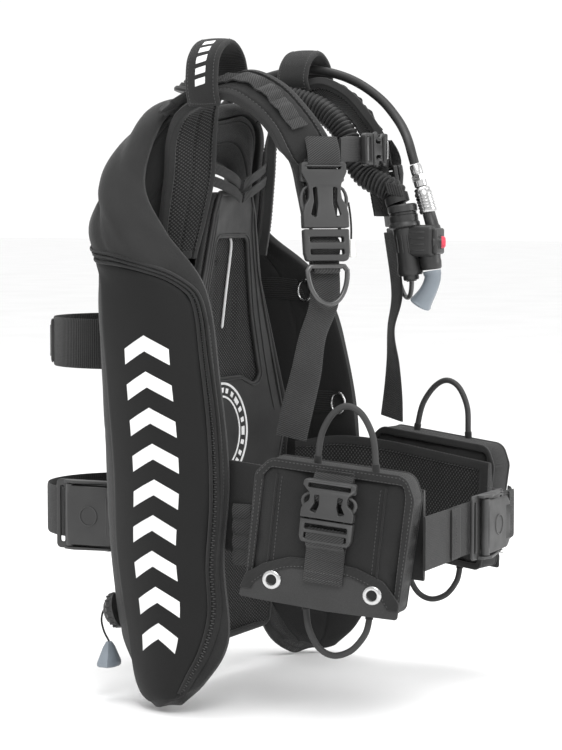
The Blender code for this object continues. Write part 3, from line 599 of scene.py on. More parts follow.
LOOKS = {
    "panel": cloth_look("smooth_laminate", grey(0.0035), grey(0.007), "plain_weave", (0.9, 0.9), 0.62,
                        0.00008, 0.03, 0.35, 0.12),
    "nylon": cloth_look("nylon_cloth", grey(0.013), grey(0.026), "plain_weave", (0.9, 0.9), 0.78, 0.00025,
                        0.12, 0.6, 0.2, 0.35),
    "lining": cloth_look("lining_cloth", grey(0.010), grey(0.02), "plain_weave", (0.9, 0.9), 0.8, 0.00025,
                         0.08, 0.6, 0.2, 0.3),
    "mesh": cloth_look("spacer_mesh", grey(0.006), grey(0.055), "spacer", (4.6, 3.6), 0.85, 0.0007, 0.06,
                       0.9),
    "webbing": cloth_look("woven_webbing", grey(0.016), grey(0.05), "twill", (3.2, 2.2), 0.82, 0.0006, 0.12,
                          0.9),
    "belt": cloth_look("belt_webbing", grey(0.007), grey(0.024), "ribs", (1.6, 2.4), 0.82, 0.0006, 0.1, 0.9),
    "binding": cloth_look("edge_binding", grey(0.011), grey(0.026), "ribs", (0.8, 1.1), 0.85, 0.0003, 0.14,
                          0.7),
    "canvas": cloth_look("pouch_canvas", grey(0.009), grey(0.022), "plain_weave", (1.3, 1.3), 0.82, 0.0004,
                         0.1, 0.8, 0.22, 0.2),
    "flap": cloth_look("coated_flap", grey(0.030), grey(0.038), "plain_weave", (0.7, 0.7), 0.55, 0.00006,
                       0.02, 0.3, 0.15, 0.1),
    "thread": cloth_look("sewing_thread", grey(0.045), grey(0.09), "ribs", (0.5, 0.5), 0.7, 0.0001, 0.1),
    "zipper": solid_look("zipper_teeth", grey(0.03), grey(0.09), 0.4),
    "plastic": solid_look("moulded_plastic", grey(0.026), grey(0.09), 0.46, 900.0, 0.0001),
    "frame": solid_look("frame_plastic", grey(0.024), grey(0.08), 0.5, 600.0, 0.0002, specular=0.4),
    "dark_plastic": solid_look("dark_plastic", grey(0.014), grey(0.06), 0.4, 900.0, 0.0001),
    "rubber": solid_look("hose_rubber", grey(0.014), grey(0.04), 0.5, 500.0, 0.00012, specular=0.4),
    "loop": solid_look("loop_rubber", grey(0.032), grey(0.07), 0.58, 500.0, 0.00015, specular=0.35),
    "steel": solid_look("polished_steel", grey(0.5), grey(0.8), 0.22, 300.0, 0.00003, 1.0, stretch=(1, 1, 9)),
    "ring": solid_look("blackened_steel", grey(0.06), grey(0.3), 0.32, 400.0, 0.00004, 0.6, coat=0.2),
    "grey": solid_look("grey_pull", (0.16, 0.185, 0.21), (0.30, 0.34, 0.38), 0.4, 500.0, 0.0001),
    "pale": solid_look("pale_knob", (0.62, 0.62, 0.6), (0.75, 0.75, 0.74), 0.4, 500.0, 0.0001),
    "red": solid_look("red_key", (0.62, 0.02, 0.06), (0.8, 0.2, 0.22), 0.38, 600.0, 0.00008),
    "mark": solid_look("white_print", (0.8, 0.8, 0.8), (0.6, 0.6, 0.6), 0.5, 800.0, 0.00005, specular=0.3),
    "piping": solid_look("reflective_piping", (0.68, 0.68, 0.68), (0.85, 0.85, 0.85), 0.35, 900.0, 0.0001),
}


def looks(*names):
    return [LOOKS[name] for name in names]


def refinish(node, name):
    """A CAD node that stays: its own slots take a finish."""
    item = bpy.data.objects[node]
    for slot in item.material_slots:
        slot.material = LOOKS[name]


# --- camera, light and floor --------------------------------------------------------------


def make_camera():
    azimuth, elevation, distance = math.radians(-64.0), math.radians(4.0), 2.4
    aim = Vector((0.0, -0.089, 0.0))
    back = Vector((math.sin(azimuth) * math.cos(elevation), -math.cos(azimuth) * math.cos(elevation),
                   math.sin(elevation)))
    data = bpy.data.cameras.new("camera")
    data.lens = 115.2
    data.sensor_width = 36.0
    made = bpy.data.objects.new("camera", data)
    made.location = aim + back * distance
    made.rotation_euler = (-back).to_track_quat("-Z", "Y").to_euler()
    bpy.context.scene.collection.objects.link(made)
    bpy.context.scene.camera = made


def make_light(name, place, aim, size, power):
    data = bpy.data.lights.new(name, "AREA")
    data.shape = "SQUARE"
    data.size = size
    data.energy = power
    made = bpy.data.objects.new(name, data)
    made.location = place
    way = Vector(aim) - Vector(place)
    made.rotation_euler = way.to_track_quat("-Z", "Y").to_euler()
    bpy.context.scene.collection.objects.link(made)


def make_stage():
    world = bpy.data.worlds.new("studio")
    bpy.context.scene.world = world
    world.use_nodes = True
    world.node_tree.nodes["Background"].inputs["Color"].default_value = (1.0, 1.0, 1.0, 1.0)
    world.node_tree.nodes["Background"].inputs["Strength"].default_value = 1.05
    make_light("key", (-2.2, -1.6, 2.6), (0, -0.1, 0.05), 1.6, 60.0)
    make_light("top", (0.4, 0.6, 3.0), (0, -0.1, 0.1), 2.0, 45.0)
    make_light("front", (0.9, -3.0, 1.0), (0, -0.1, 0.0), 1.4, 30.0)
    mesh = bpy.data.meshes.new("floor")
    far = 30.0
    low = CAD_BOX[0][2] - 0.002
    mesh.from_pydata([(-far, -far, low), (far, -far, low), (far, far, low), (-far, far, low)], [],
                     [(0, 1, 2, 3)])
    t = Tree("pale_floor")
    tone = t.span(t.noise(3.0, 4.0), 0.3, 0.7, 0.90, 0.94)
    t.put(t.shader.inputs["Base Color"],
          t.node("ShaderNodeCombineColor", {0: tone, 1: tone, 2: tone}).outputs[0])
    t.shader.inputs["Roughness"].default_value = 0.9
    t.shader.inputs["Specular IOR Level"].default_value = 0.1
    mesh.materials.append(t.material)
    floor = bpy.data.objects.new("floor", mesh)
    bpy.context.scene.collection.objects.link(floor)
    bpy.context.scene.view_settings.view_transform = "Standard"


make_camera()
make_stage()


# --- cords --------------------------------------------------------------------------------

LP_ROUTE = [(52.0, -210.9, 210.5), (52.4, -207.8, 220), (61, -201, 231), (73, -191, 243), (85, -178, 256),
            (96, -159, 273), (103, -137, 288), (106, -115, 299), (106, -92, 306), (105, -69, 309),
            (106, -44, 307), (108, -16, 301), (110, 14, 288), (111, 42, 262), (109, 60, 230),
            (108, 68, 190), (108, 71, 145), (108, 71, 100), (108, 70, 55), (108, 69, 15), (108, 69, -12)]
LP_HOSE_DIAMETER = 9.5
REAR_CORD = [(-137, 35.0, -222.6), (-137.5, 38, -228), (-139, 38.5, -236), (-141, 34.5, -246),
             (-141, 29, -255)]
CHEST_CORD = [(-56, -188, 172), (-56, -190, 160), (-56, -191, 148), (-56, -191, 137)]
CORD_DIAMETER = 2.0


def curve_piece(name, route, diameter, count, look, body):
    path = smooth(route, count) * MM
    curve = bpy.data.curves.new(name, "CURVE")
    curve.dimensions = "3D"
    curve.fill_mode = "FULL"
    curve.bevel_depth = diameter / 2 * MM
    curve.bevel_resolution = 6
    curve.use_fill_caps = True
    line = curve.splines.new("POLY")
    line.points.add(count - 1)
    for point, place in zip(line.points, path):
        point.co = (*place, 1.0)
    line.use_smooth = True
    curve.materials.append(LOOKS[look])
    made = bpy.data.objects.new(name, curve)
    bpy.context.scene.collection.objects.link(made)
    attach(made, body)
    return made, float(arc(path)[-1]), tuple(path[0])


def make_hose_fitting():
    """Crimped sleeve, knurled collar and quick-disconnect end of the supply hose."""
    build = Build()
    x, y, z = LP_ROUTE[-1]
    build.lathe((x, y, z - 0.4), (x, y, z - 20),
                [(0, 5.2), (0.03, 6.6), (0.2, 7.0), (0.24, 6.5), (0.3, 6.5), (0.34, 7.0), (0.6, 7.0),
                 (0.64, 6.5), (0.7, 6.5), (0.74, 7.0), (0.96, 6.9), (1.0, 6.2)])
    build.lathe((x, y, z - 19.8), (x, y, z - 30), [(0, 7.5), (0.08, 9.0), (0.9, 9.0), (1, 7.8)], 6)
    build.lathe((x, y, z - 29.8), (x, y, z - 39.6),
                [(0, 5.0), (0.2, 5.0), (0.25, 4.4), (0.35, 4.4), (0.4, 5.0), (0.9, 5.0), (1.0, 4.0)])
    made = build.make("supply_hose_fitting", looks("steel"))
    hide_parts("lp_fitting")
    return made


def pull_knob(name, node, top, small, large, tall, body, look="grey"):
    """A tapered, faceted pull that widens towards its lower end."""
    x, y, z = top
    build = Build()
    levels = [(0.0, small * 0.75), (0.05, small), (0.22, small + 0.3 * (large - small)),
              (0.75, large * 0.94), (0.82, large), (0.93, large), (1.0, large * 0.86)]
    rings = []
    for share, r in levels:
        ring = []
        for k in range(8):
            a = math.pi / 8 + k * math.pi / 4
            squeeze = 0.72 if abs(math.sin(a)) > 0.7 else 1.0
            ring += [(x + r * math.cos(a) * 0.98, y + r * math.sin(a) * squeeze, z - tall * share)]
        rings.append(ring)
    build.skin(rings)
    build.lathe((x, y, z + 0.1), (x, y, z - 3), [(0, 1.6), (0.3, small * 0.8), (1, small * 0.8)], 16)
    made = build.make(name, looks(look), body, 30)
    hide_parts(node)
    return made


def make_cords():
    fitting = make_hose_fitting()
    hose, length, start = curve_piece("supply_hose_line", LP_ROUTE, LP_HOSE_DIAMETER, 90, "rubber", "vest")
    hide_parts("lp_hose")
    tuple(start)
    for name, route, sizes in (("rear_dump", REAR_CORD, (4.5, 15.0, 24.0)),
                               ("shoulder_dump", CHEST_CORD, (4.0, 7.0, 17.0))):
        body = f"{name}_pull"
        x, y, z = route[-1]
        look = "grey" if name == "rear_dump" else "pale"
        knob = pull_knob(f"{name}_pull_knob", f"{name}_knob", (x, y, z - 0.4), *sizes, body, look)
        line, length, start = curve_piece(f"{name}_pull_cord", route, CORD_DIAMETER, 20, "binding", body)
        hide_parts(f"{name}_cord")
        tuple(start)


make_cords()


# --- air cell -----------------------------------------------------------------------------

CELL_HALF = [
    [(122, -30, -292), (142, -36, -302), (162, -44, -306), (171, -56, -305), (176, -70, -299)],
    [(102, -22, -272), (130, -20, -284), (156, -26, -288), (173, -56, -289), (174, -94, -279)],
    [(94, -14, -236), (120, -4, -240), (142, 2, -244), (169, -50, -244), (164, -114, -238)],
    [(78, -2, -165), (106, 10, -165), (135, 17, -165), (163, -42, -165), (156, -105, -165)],
    [(76, -2, -85), (106, 12, -85), (135, 21, -85), (160, -40, -85), (149, -107, -85)],
    [(76, -4, 5), (106, 12, 5), (137, 24, 5), (158, -34, 5), (146, -96, 5)],
    [(78, -4, 90), (108, 10, 90), (139, 26, 90), (155, -24, 90), (144, -80, 90)],
    [(72, -6, 145), (106, 10, 145), (144, 32, 145), (155, -4, 145), (146, -38, 145)],
    [(56, -6, 190), (92, 6, 190), (132, 20, 192), (143, 6, 192), (140, -12, 190)],
    [(40, -6, 206), (68, 0, 226), (104, 3, 242), (113, -2, 245), (112, -12, 243)],
    [(20, -6, 212), (36, -3, 236), (64, -4, 260), (71, -7, 266), (73, -14, 265)],
    [(0, -6, 214), (0, -4, 236), (0, -6, 254), (0, -9, 260), (0, -15, 259)],
]
CELL_LEFT = list(CELL_HALF)
CELL_LEFT[6] = [(78, -4, 90), (108, 10, 90), (139, 26, 90), (153, -20, 90), (146, -64, 90)]
CELL_LEFT[7] = [(72, -6, 145), (106, 10, 145), (142, 34, 145), (150, 20, 145), (140, 2, 145)]
CELL_LEFT[8] = [(56, -6, 190), (92, 6, 190), (130, 22, 192), (139, 14, 192), (134, 2, 190)]
CELL_THICK = 26.0
CELL_ACROSS, CELL_ALONG = 64, 340
PANEL_TOP = [(0.0, 131.0), (0.2, 122.0), (0.4, 115.0), (0.6, 108.0), (0.8, 99.0), (0.92, 90.0), (1.0, 74.0)]


class Cell:
    """The air cell's surface, addressed by share across and height on either side."""

    def __init__(self):
        rows = [mirrored(row, -1) for row in CELL_HALF] + CELL_LEFT[-2::-1]
        self.u = edge_shares(CELL_ACROSS)
        self.v = np.linspace(0, 1, CELL_ALONG + 1)
        self.grid = sheet_grid(rows, CELL_ALONG, self.u)
        crown = np.maximum(np.sin(math.pi * self.u), 0.0) ** 0.55
        run = np.sin(math.pi * np.clip(self.v, 0.0, 1.0)) ** 0.3
        self.depth = 5.0 + (CELL_THICK - 5.0) * crown[None, :] * (0.6 + 0.4 * run)[:, None]
        middle = normals(self.grid)[CELL_ALONG // 4, CELL_ACROSS // 2]
        self.flip = middle[0] > 0
        self.outer = Sheet(self.grid, self.depth / 2, self.flip)

    def share(self, u):
        """The position among the grid's columns of a share across."""
        return np.interp(u, self.u, np.linspace(0, 1, CELL_ACROSS + 1))

    def rise(self, u, z, side):
        """The share along at which column u reaches height z on one side."""
        u, z = np.broadcast_arrays(np.asarray(u, float), np.asarray(z, float))
        half = CELL_ALONG // 2 + 1
        place = self.share(u) * CELL_ACROSS
        j = np.minimum(place.astype(int), CELL_ACROSS - 1)
        found = np.empty(u.shape)
        for at in np.ndindex(u.shape):
            f = place[at] - j[at]
            heights = self.grid[:half, j[at], 2] * (1 - f) + self.grid[:half, j[at] + 1, 2] * f
            found[at] = np.interp(z[at], np.maximum.accumulate(heights), self.v[:half])
        return found if side < 0 else 1 - found

    def at(self, u, z, side, lift=0.0):
        return self.outer.at(self.share(u), self.rise(u, z, side), lift)


CELL = Cell()


def bump_of(x, middle, wide):
    return np.exp(-(((x - middle) / wide) ** 2))


def ease(x, low, high):
    t = np.clip((x - low) / (high - low), 0, 1)
    return t * t * (3 - 2 * t)


def panel_front(z):
    """How far across the laminated panel reaches, drawn in towards the lower tip."""
    return 0.925 - 0.075 * (1 - ease(z, -275.0, -190.0))


def panel_rear(z):
    return 0.40 + 0.02 * ease(z, 40.0, 120.0)


def cell_relief(z, u):
    """Seams, sewn channels and folds of the cell's own cloth, as height in millimetres."""
    upper = ease(z, 95.0, 130.0)
    tape = 1.5 * (bump_of(u, 0.47, 0.035) > 0.45) * upper
    seam = -1.8 * (bump_of(u, 0.435, 0.007) + bump_of(u, 0.505, 0.007)) * upper
    lobe = 4.4 * bump_of(u, 0.70, 0.12) * upper
    fold = 1.6 * np.sin(u * 31.0 + z * 0.022) * bump_of(u, 0.72, 0.14) * upper
    crease = -2.2 * bump_of(u, 0.60 + 0.0006 * (z - 120.0), 0.02) * upper
    rear = -1.6 * (bump_of(u, 0.13, 0.010) + bump_of(u, 0.27, 0.010))
    quilt = -1.3 * bump_of((z % 95.0) - 47.0, 0.0, 3.2) * (u < 0.36) * bump_of(u, 0.2, 0.12)
    ripple = 0.5 * np.sin(z * 0.19 + 6 * u) * bump_of(u, 0.95, 0.05)
    return tape + seam + lobe + fold + crease + rear + quilt + ripple


def make_cell():
    """The inflatable horseshoe: nylon outside, lining towards the wearer."""
    z = CELL.grid[..., 2]
    u = np.broadcast_to(CELL.u, z.shape)
    front = CELL.depth / 2 + cell_relief(z, u) * np.minimum(CELL.depth / 12.0, 1.0)
    channels = -1.2 * (bump_of(u, 0.3, 0.012) + bump_of(u, 0.72, 0.012))
    lined = channels + 0.9 * np.sin(z * 0.05 + 9 * u) * bump_of(u, 0.5, 0.25)
    rear = CELL.depth / 2 + lined * np.minimum(CELL.depth / 12.0, 1.0)
    build = Build()
    build.cushion(CELL.grid, front, rear, 0, 1, flip=CELL.flip)
    made = build.make("air_cell_shell", looks("nylon", "lining"))
    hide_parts("air_cell")
    return made


def panel_region(side):
    """Shares of the laminated panel for (a, b) in 0..1: a rear to front, b tip to top."""
    tops = np.array(PANEL_TOP)

    def region(a, b):
        top = np.interp(a, tops[:, 0], tops[:, 1])
        low = -300.0 + 4.0 * a
        z = low + (top - low) * b
        u = panel_rear(z) + (panel_front(z) - panel_rear(z)) * a
        return CELL.share(u), CELL.rise(u, z, side)

    return region


def make_wing_panels():
    """The smooth laminated panel over each lobe, a separate cover with rounded edges."""
    for name, side in SIDES.items():
        build = Build()
        CELL.outer.patch(build, panel_region(side), 44, 150, 3.0, lift=0.0, sink=1.5, rim=0.05)
        made = build.make(f"wing_panel_{name}", looks("panel"))


def panel_edge(side, out=0.0, lift=1.6, count=220):
    """The panel's upper and front border, from its rear top corner down to the tip."""
    path = list(PANEL_TOP[:-2]) + [(0.93, 89.0), (0.985, 80.0), (1.0, 62.0)]
    path += [(1.0, z) for z in (30.0, -40.0, -110.0, -170.0, -215.0, -250.0, -275.0, -290.0)]
    points, ways = [], []
    for a, z in path:
        up = out * max(0.0, 1.0 - a) ** 0.3 if a < 1.0 else 0.0
        u = panel_rear(z) + (panel_front(z) - panel_rear(z)) * a + out * 0.0045 * (a ** 3)
        point, way = CELL.at(u, z + up, side, lift)
        points.append(point)
        ways.append(way)
    line = smooth(np.array(points), count)
    way = smooth(np.array(ways), count)
    way /= np.linalg.norm(way, axis=1, keepdims=True)
    return line, way


def make_zippers():
    """Piping, tape, teeth and puller round each panel."""
    for name, side in SIDES.items():
        build = Build()
        line, way = panel_edge(side, 0.6, 2.4)
        build.skin(tube_rings(line, 1.7, 10, guide=way), look=0)
        line, way = panel_edge(side, 5.5, 0.9)
        build.skin(tube_rings(line, 4.6, 10, flat=0.28, guide=way), look=1)
        ahead = np.gradient(line, axis=0)
        ahead /= np.linalg.norm(ahead, axis=1, keepdims=True)
        across = np.cross(way, ahead)
        run = arc(line)
        for k, at in enumerate(np.arange(2.0, run[-1] - 2.0, 2.3)):
            p = np.array([np.interp(at, run, line[:, i]) for i in range(3)])
            n = np.array([np.interp(at, run, way[:, i]) for i in range(3)])
            x = np.array([np.interp(at, run, across[:, i]) for i in range(3)])
            t = np.cross(x, n)
            shift = x * (0.7 if k % 2 else -0.7) + n * 1.3
            ring = [(-1.5, -0.55), (1.5, -0.55), (1.5, 0.55), (-1.5, 0.55)]
            low = [p + shift + x * a + t * b for a, b in ring]
            high = [p + shift + x * a * 0.7 + t * b * 0.7 + n * 0.9 for a, b in ring]
            build.skin([low, high], look=2)
        line, way = panel_edge(side, 10.5, 1.0)
        build.skin(tube_rings(line, 3.0, 10, flat=0.6, guide=way), look=0)
        start, normal = line[6], way[6]
        build.block((6, 9, 3.2), (0, 0, 0), 1.0, frame_of(start + normal * 2.0, across[6], ahead[6]), 2)
        made = build.make(f"wing_zipper_{name}", looks("binding", "lining", "zipper"))


def make_wing_marks():
    """A plain column of bold chevrons on each panel."""
    for name, side in SIDES.items():
        build = Build()
        for k in range(9):
            base = 46.0 - k * 34.0

            def region(a, b, base=base):
                z = base - 15.0 * b - 26.0 * abs(a - 0.5)
                u = panel_rear(z) + (panel_front(z) - panel_rear(z)) * (0.30 + 0.42 * a)
                return CELL.share(u), CELL.rise(u, z, side)

            CELL.outer.patch(build, region, 20, 6, 0.35, lift=3.0, sink=0.3, rim=0.02)
        made = build.make(f"wing_chevrons_{name}", looks("mark"))


def make_cell_seams():
    """Stitch rows along the cell's upper seams and along its front edge."""
    build = Build()
    for side in SIDES.values():
        for u in (0.442, 0.498):
            heights = np.linspace(138, 255, 40)
            points, ways = CELL.at(np.full(40, u), heights, side, 0.5)
            build.stitches(points, ways, 0)
        heights = np.linspace(-170, 60, 70)
        points, ways = CELL.at(np.full(70, 0.982), heights, side, 0.2)
        build.stitches(points, ways, 0)
    made = build.make("air_cell_stitches", looks("thread"))


def make_lobe_bands():
    """Webbing bands and their steel rings on the lobes' inner faces."""
    inner = Sheet(CELL.grid, CELL.depth / 2, not CELL.flip)
    for name, side in SIDES.items():
        build = Build()
        for middle, low, high in ((84.0, 0.40, 0.86), (-38.0, 0.60, 0.90)):

            def region(a, b, middle=middle, low=low, high=high):
                u = low + (high - low) * a
                z = middle + 24.0 * (0.5 - b)
                return CELL.share(u), CELL.rise(u, z, side)

            inner.patch(build, region, 18, 5, 1.6, lift=0.4, sink=0.4, rim=0.03)
            u = high + 0.03
            point, way = inner.at(CELL.share(u), CELL.rise(u, middle, side), 3.0)
            across = np.cross(way, (0.0, 0.0, 1.0))
            across /= np.linalg.norm(across)
            ring = []
            for a in np.linspace(0, 2 * math.pi, 32, False):
                ring.append(point + 9.0 * math.cos(a) * across + 11.0 * math.sin(a) * np.array((0.0, 0.0,
                                                                                                1.0)))
            build.tube(ring, 1.5, 0, 12, 1, closed=True)
        made = build.make(f"lobe_bands_{name}", looks("belt", "steel"))


make_cell()
make_lobe_bands()
make_wing_panels()
make_zippers()
make_wing_marks()
make_cell_seams()


# --- shoulder harness ---------------------------------------------------------------------

BUCKLE_ORIGIN = (87.0, -178.0, 147.0)
BUCKLE_ACROSS = (-0.72, -0.695, 0.0)
BUCKLE_UP = (0.0, 0.19, 0.98)
STRAP_THICK = 12.0
STRAP_CENTRES = [(92, -20, 118), (90, -26, 154), (86, -32, 198), (88, -36, 238), (95, -50, 267),
                 (99, -88, 284), (96, -118, 273), (91, -141, 250), (86, -156, 225), (75, -160, 207),
                 (75, -164, 183), (77, -167, 159)]
STRAP_WIDTHS = [(-36, -22, 0), (-42, -26, 0), (-46, -28, 0), (-48, -26, 8), (-46, -18, 18),
                (-48, -6, 24), (-46, -14, 24), (-42, -24, 16), (-38, -34, 8), (-32, -31, 0),
                (-29, -28, 0), (-24, -24, 0)]
LOOP_ROUTE = [(122, -68, 265), (127.5, -69, 271), (130, -69, 280), (130, -69, 292), (127, -69, 307),
              (116, -69, 319), (100, -69, 325), (85, -69, 321), (74, -69, 312), (68.5, -69, 301),
              (68, -69.5, 294), (72, -70, 287)]


def buckle_frame(side):
    """The chest buckle's local frame: y points away from the chest, z up the strap."""
    across = (BUCKLE_ACROSS[0], side * BUCKLE_ACROSS[1], BUCKLE_ACROSS[2])
    return frame_of((side * BUCKLE_ORIGIN[0], *BUCKLE_ORIGIN[1:]), across, BUCKLE_UP)


def strap_sheet(side):
    rows = []
    for centre, width in zip(STRAP_CENTRES, STRAP_WIDTHS):
        c, w = np.array(centre, float), np.array(width, float)
        rows.append(mirrored([c - w / 2, c, c + w / 2], side))
    u = edge_shares(30, 0.5)
    grid = sheet_grid(rows, 150, u)
    crown = np.sin(math.pi * np.clip(u, 0.0, 1.0)) ** 0.5
    depth = 5.0 + (STRAP_THICK - 5.0) * np.broadcast_to(crown, grid.shape[:2])
    flip = normals(grid)[75, 15][2] < 0
    return grid, u, depth, flip


def make_shoulder_straps():
    """Crowned pads: bound edges, canvas outside, spacer mesh towards the wearer."""
    for name, side in SIDES.items():
        grid, u, depth, flip = strap_sheet(side)
        v = np.linspace(0, 1, 151)[:, None]
        z = np.broadcast_to(v, depth.shape)
        across = np.broadcast_to(u, depth.shape)
        rim = np.minimum(across, 1 - across)
        bound = (rim < 0.135) | (z < 0.018) | (z > 0.982)
        groove = 0.9 * (rim < 0.13) - 1.3 * bump_of(rim, 0.145, 0.012)
        pucker = 0.35 * np.sin(z * 260.0) * bump_of(rim, 0.17, 0.05)
        channel = -1.5 * bump_of(across, 0.5, 0.012) * (z < 0.42)
        outer = depth / 2 + groove + pucker
        inner = depth / 2 + groove + pucker + channel
        looks_out = np.where(bound[:, :-1], 2, 0)
        build = Build()
        normal = normals(grid) * (-1 if flip else 1)
        top = grid + normal * outer[..., None]
        low = grid - normal * inner[..., None]
        rings = np.concatenate([top, low[:, ::-1]], axis=1)
        m = grid.shape[1]
        kinds = np.zeros((151, 2 * m), int)
        kinds[:, : m - 1] = looks_out
        kinds[:, m - 1] = 2
        kinds[:, m:-1] = np.where(bound[:, :-1][:, ::-1], 2, 1)
        kinds[:, -1] = 2
        build.skin(rings, looks=kinds, strip=True)
        made = build.make(f"shoulder_pad_{name}", looks("canvas", "mesh", "binding"))
        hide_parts(f"shoulder_strap_{name}")
        strap_details(name, grid, depth, flip)


def strap_details(name, grid, depth, flip):
    """Stitch rows, the daisy-chain tape and the webbing sewn along the strap's outside."""
    outer = Sheet(grid, depth / 2 + 0.2, flip)
    inner = Sheet(grid, depth / 2 + 0.2, not flip)
    build = Build()
    v = np.linspace(0.02, 0.98, 160)
    for sheet in (outer, inner):
        for u in (0.175, 0.825):
            points, ways = sheet.at(np.full(160, u), v, 0.7)
            build.stitches(points, ways, 0, 4.0)
    made = build.make(f"shoulder_stitches_{name}", looks("thread"))

    tape = Build()
    run = np.linspace(0, 1, 120)
    v = 0.40 + 0.36 * run
    wave = np.abs(np.sin(math.pi * (run * 5.2 + 0.22 * np.sin(run * 9.0)))) ** 0.7
    wrinkle = 0.6 * np.sin(run * 83.0 + 2.0 * np.sin(run * 17.0)) * wave
    height = 1.2 + 3.0 * wave + wrinkle
    slide = 0.02 * np.sin(run * 13.0)
    _, way = outer.at(0.5 + slide, v, height)
    left, _ = outer.at(0.37 + slide, v, height)
    right, _ = outer.at(0.63 + slide, v, height)
    shares = np.linspace(0, 1, 9)
    rows = np.stack([left + (right - left) * s for s in shares], axis=1)
    sway = 0.6 * np.sin(run[:, None] * 47 + shares[None, :] * 5) * wave[:, None]
    bow = 0.8 * np.sin(math.pi * shares)[None, :] * wave[:, None]
    rows = rows + way[:, None, :] * (sway + bow)[..., None]
    thin = np.full(rows.shape[:2], 0.9)
    tape.cushion(rows, thin, thin, 0, 0, flip=flip)
    for k in range(6):
        at = 0.41 + 0.34 * k / 5
        for shift in (-0.003, 0.003):
            u = np.linspace(0.38, 0.62, 12)
            points, ways = outer.at(u, np.full(12, at + shift), 2.0)
            tape.stitches(points, ways, 2, 2.6)
    made = tape.make(f"shoulder_daisy_tape_{name}", looks("webbing", "canvas", "thread"))


def make_hose_loops():
    """Padded hook-and-loop sleeves with bound edges."""
    for name, side in SIDES.items():
        centres = np.array(mirrored(LOOP_ROUTE, side), float)
        width = np.array((0.0, side * 34.0, 0.0))
        rows = [(c - width / 2, c, c + width / 2) for c in centres]
        u = edge_shares(18, 0.6)
        grid = sheet_grid(rows, 70, u)
        crown = np.sin(math.pi * np.clip(u, 0, 1)) ** 0.35
        depth = np.broadcast_to(2.0 + 5.4 * crown, grid.shape[:2])
        rim = np.broadcast_to(np.minimum(u, 1 - u), depth.shape)
        groove = -1.0 * bump_of(rim, 0.13, 0.02)
        middle = grid[35, 9] - grid[[0, -1], 9].mean(axis=0)
        flip = np.dot(normals(grid)[35, 9], middle) < 0
        kinds = np.where(rim[:, :-1] < 0.12, 1, 0)
        build = Build()
        build.cushion(grid, depth / 2 + groove, depth / 2, 0, 2, kinds, flip)
        sheet = Sheet(grid, depth / 2, flip)
        for u_at in (0.16, 0.84):
            points, ways = sheet.at(np.full(60, u_at), np.linspace(0.02, 0.98, 60), 0.1)
            build.stitches(points, ways, 3, 3.4)
        for end in (0.03, 0.97):
            points, ways = sheet.at(np.linspace(0.1, 0.9, 16), np.full(16, end), 0.2)
            build.stitches(points, ways, 3, 2.6)
        made = build.make(f"hose_sleeve_{name}", looks("canvas", "binding", "belt", "thread"))
        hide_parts(f"hose_loop_{name}")
        marks = Build()
        for k in range(5):
            low = 0.14 + 0.075 * k

            def region(a, b, low=low):
                return 0.38 + 0.24 * a, low + 0.045 * b + 0.02 * a

            sheet.patch(marks, region, 8, 6, 0.3, lift=0.0, sink=0.3, rim=0.04)
        made = marks.make(f"hose_sleeve_bars_{name}", looks("mark"))


def make_load_straps():
    """Twin webbings from each sleeve's foot back to the top of the air cell."""
    for name, side in SIDES.items():
        build = Build()
        for shift, lift in ((-9.0, 0.0), (9.0, 2.5)):
            route = mirrored([(100 + shift, -56, 279 + lift), (100 + shift, -46, 274 + lift),
                              (102 + shift, -30, 265 + lift), (105 + shift * 0.8, -16, 257)], side)
            widths = [(side * 15.0, 0.0, 4.0)] * 4
            build.ribbon(route, widths, 2.0, 20)
        build.block((40, 4, 13), (0, 0, 0), 1.4, frame_of((side * 102, -24, 264), (1, 0, 0), (0, 0.8, -0.6)),
                    1)
        made = build.make(f"load_straps_{name}", looks("webbing", "plastic"))


# --- side-release buckles -----------------------------------------------------------------


def socket_outline(width, length):
    """Wide at both ends with a waist where the prongs show."""
    w = width / 2
    half = [(w * 0.98, length * 0.99), (w, length * 0.84), (w * 0.86, length * 0.74),
            (w * 0.74, length * 0.66),
            (w * 0.70, length * 0.55), (w * 0.74, length * 0.44), (w * 0.92, length * 0.34),
            (w, length * 0.22),
            (w, 0.6)]
    radii = [3.0] + [2.2] * 7 + [1.4]
    return rounded(half + [(-x, z) for x, z in half[::-1]], radii + radii[::-1])


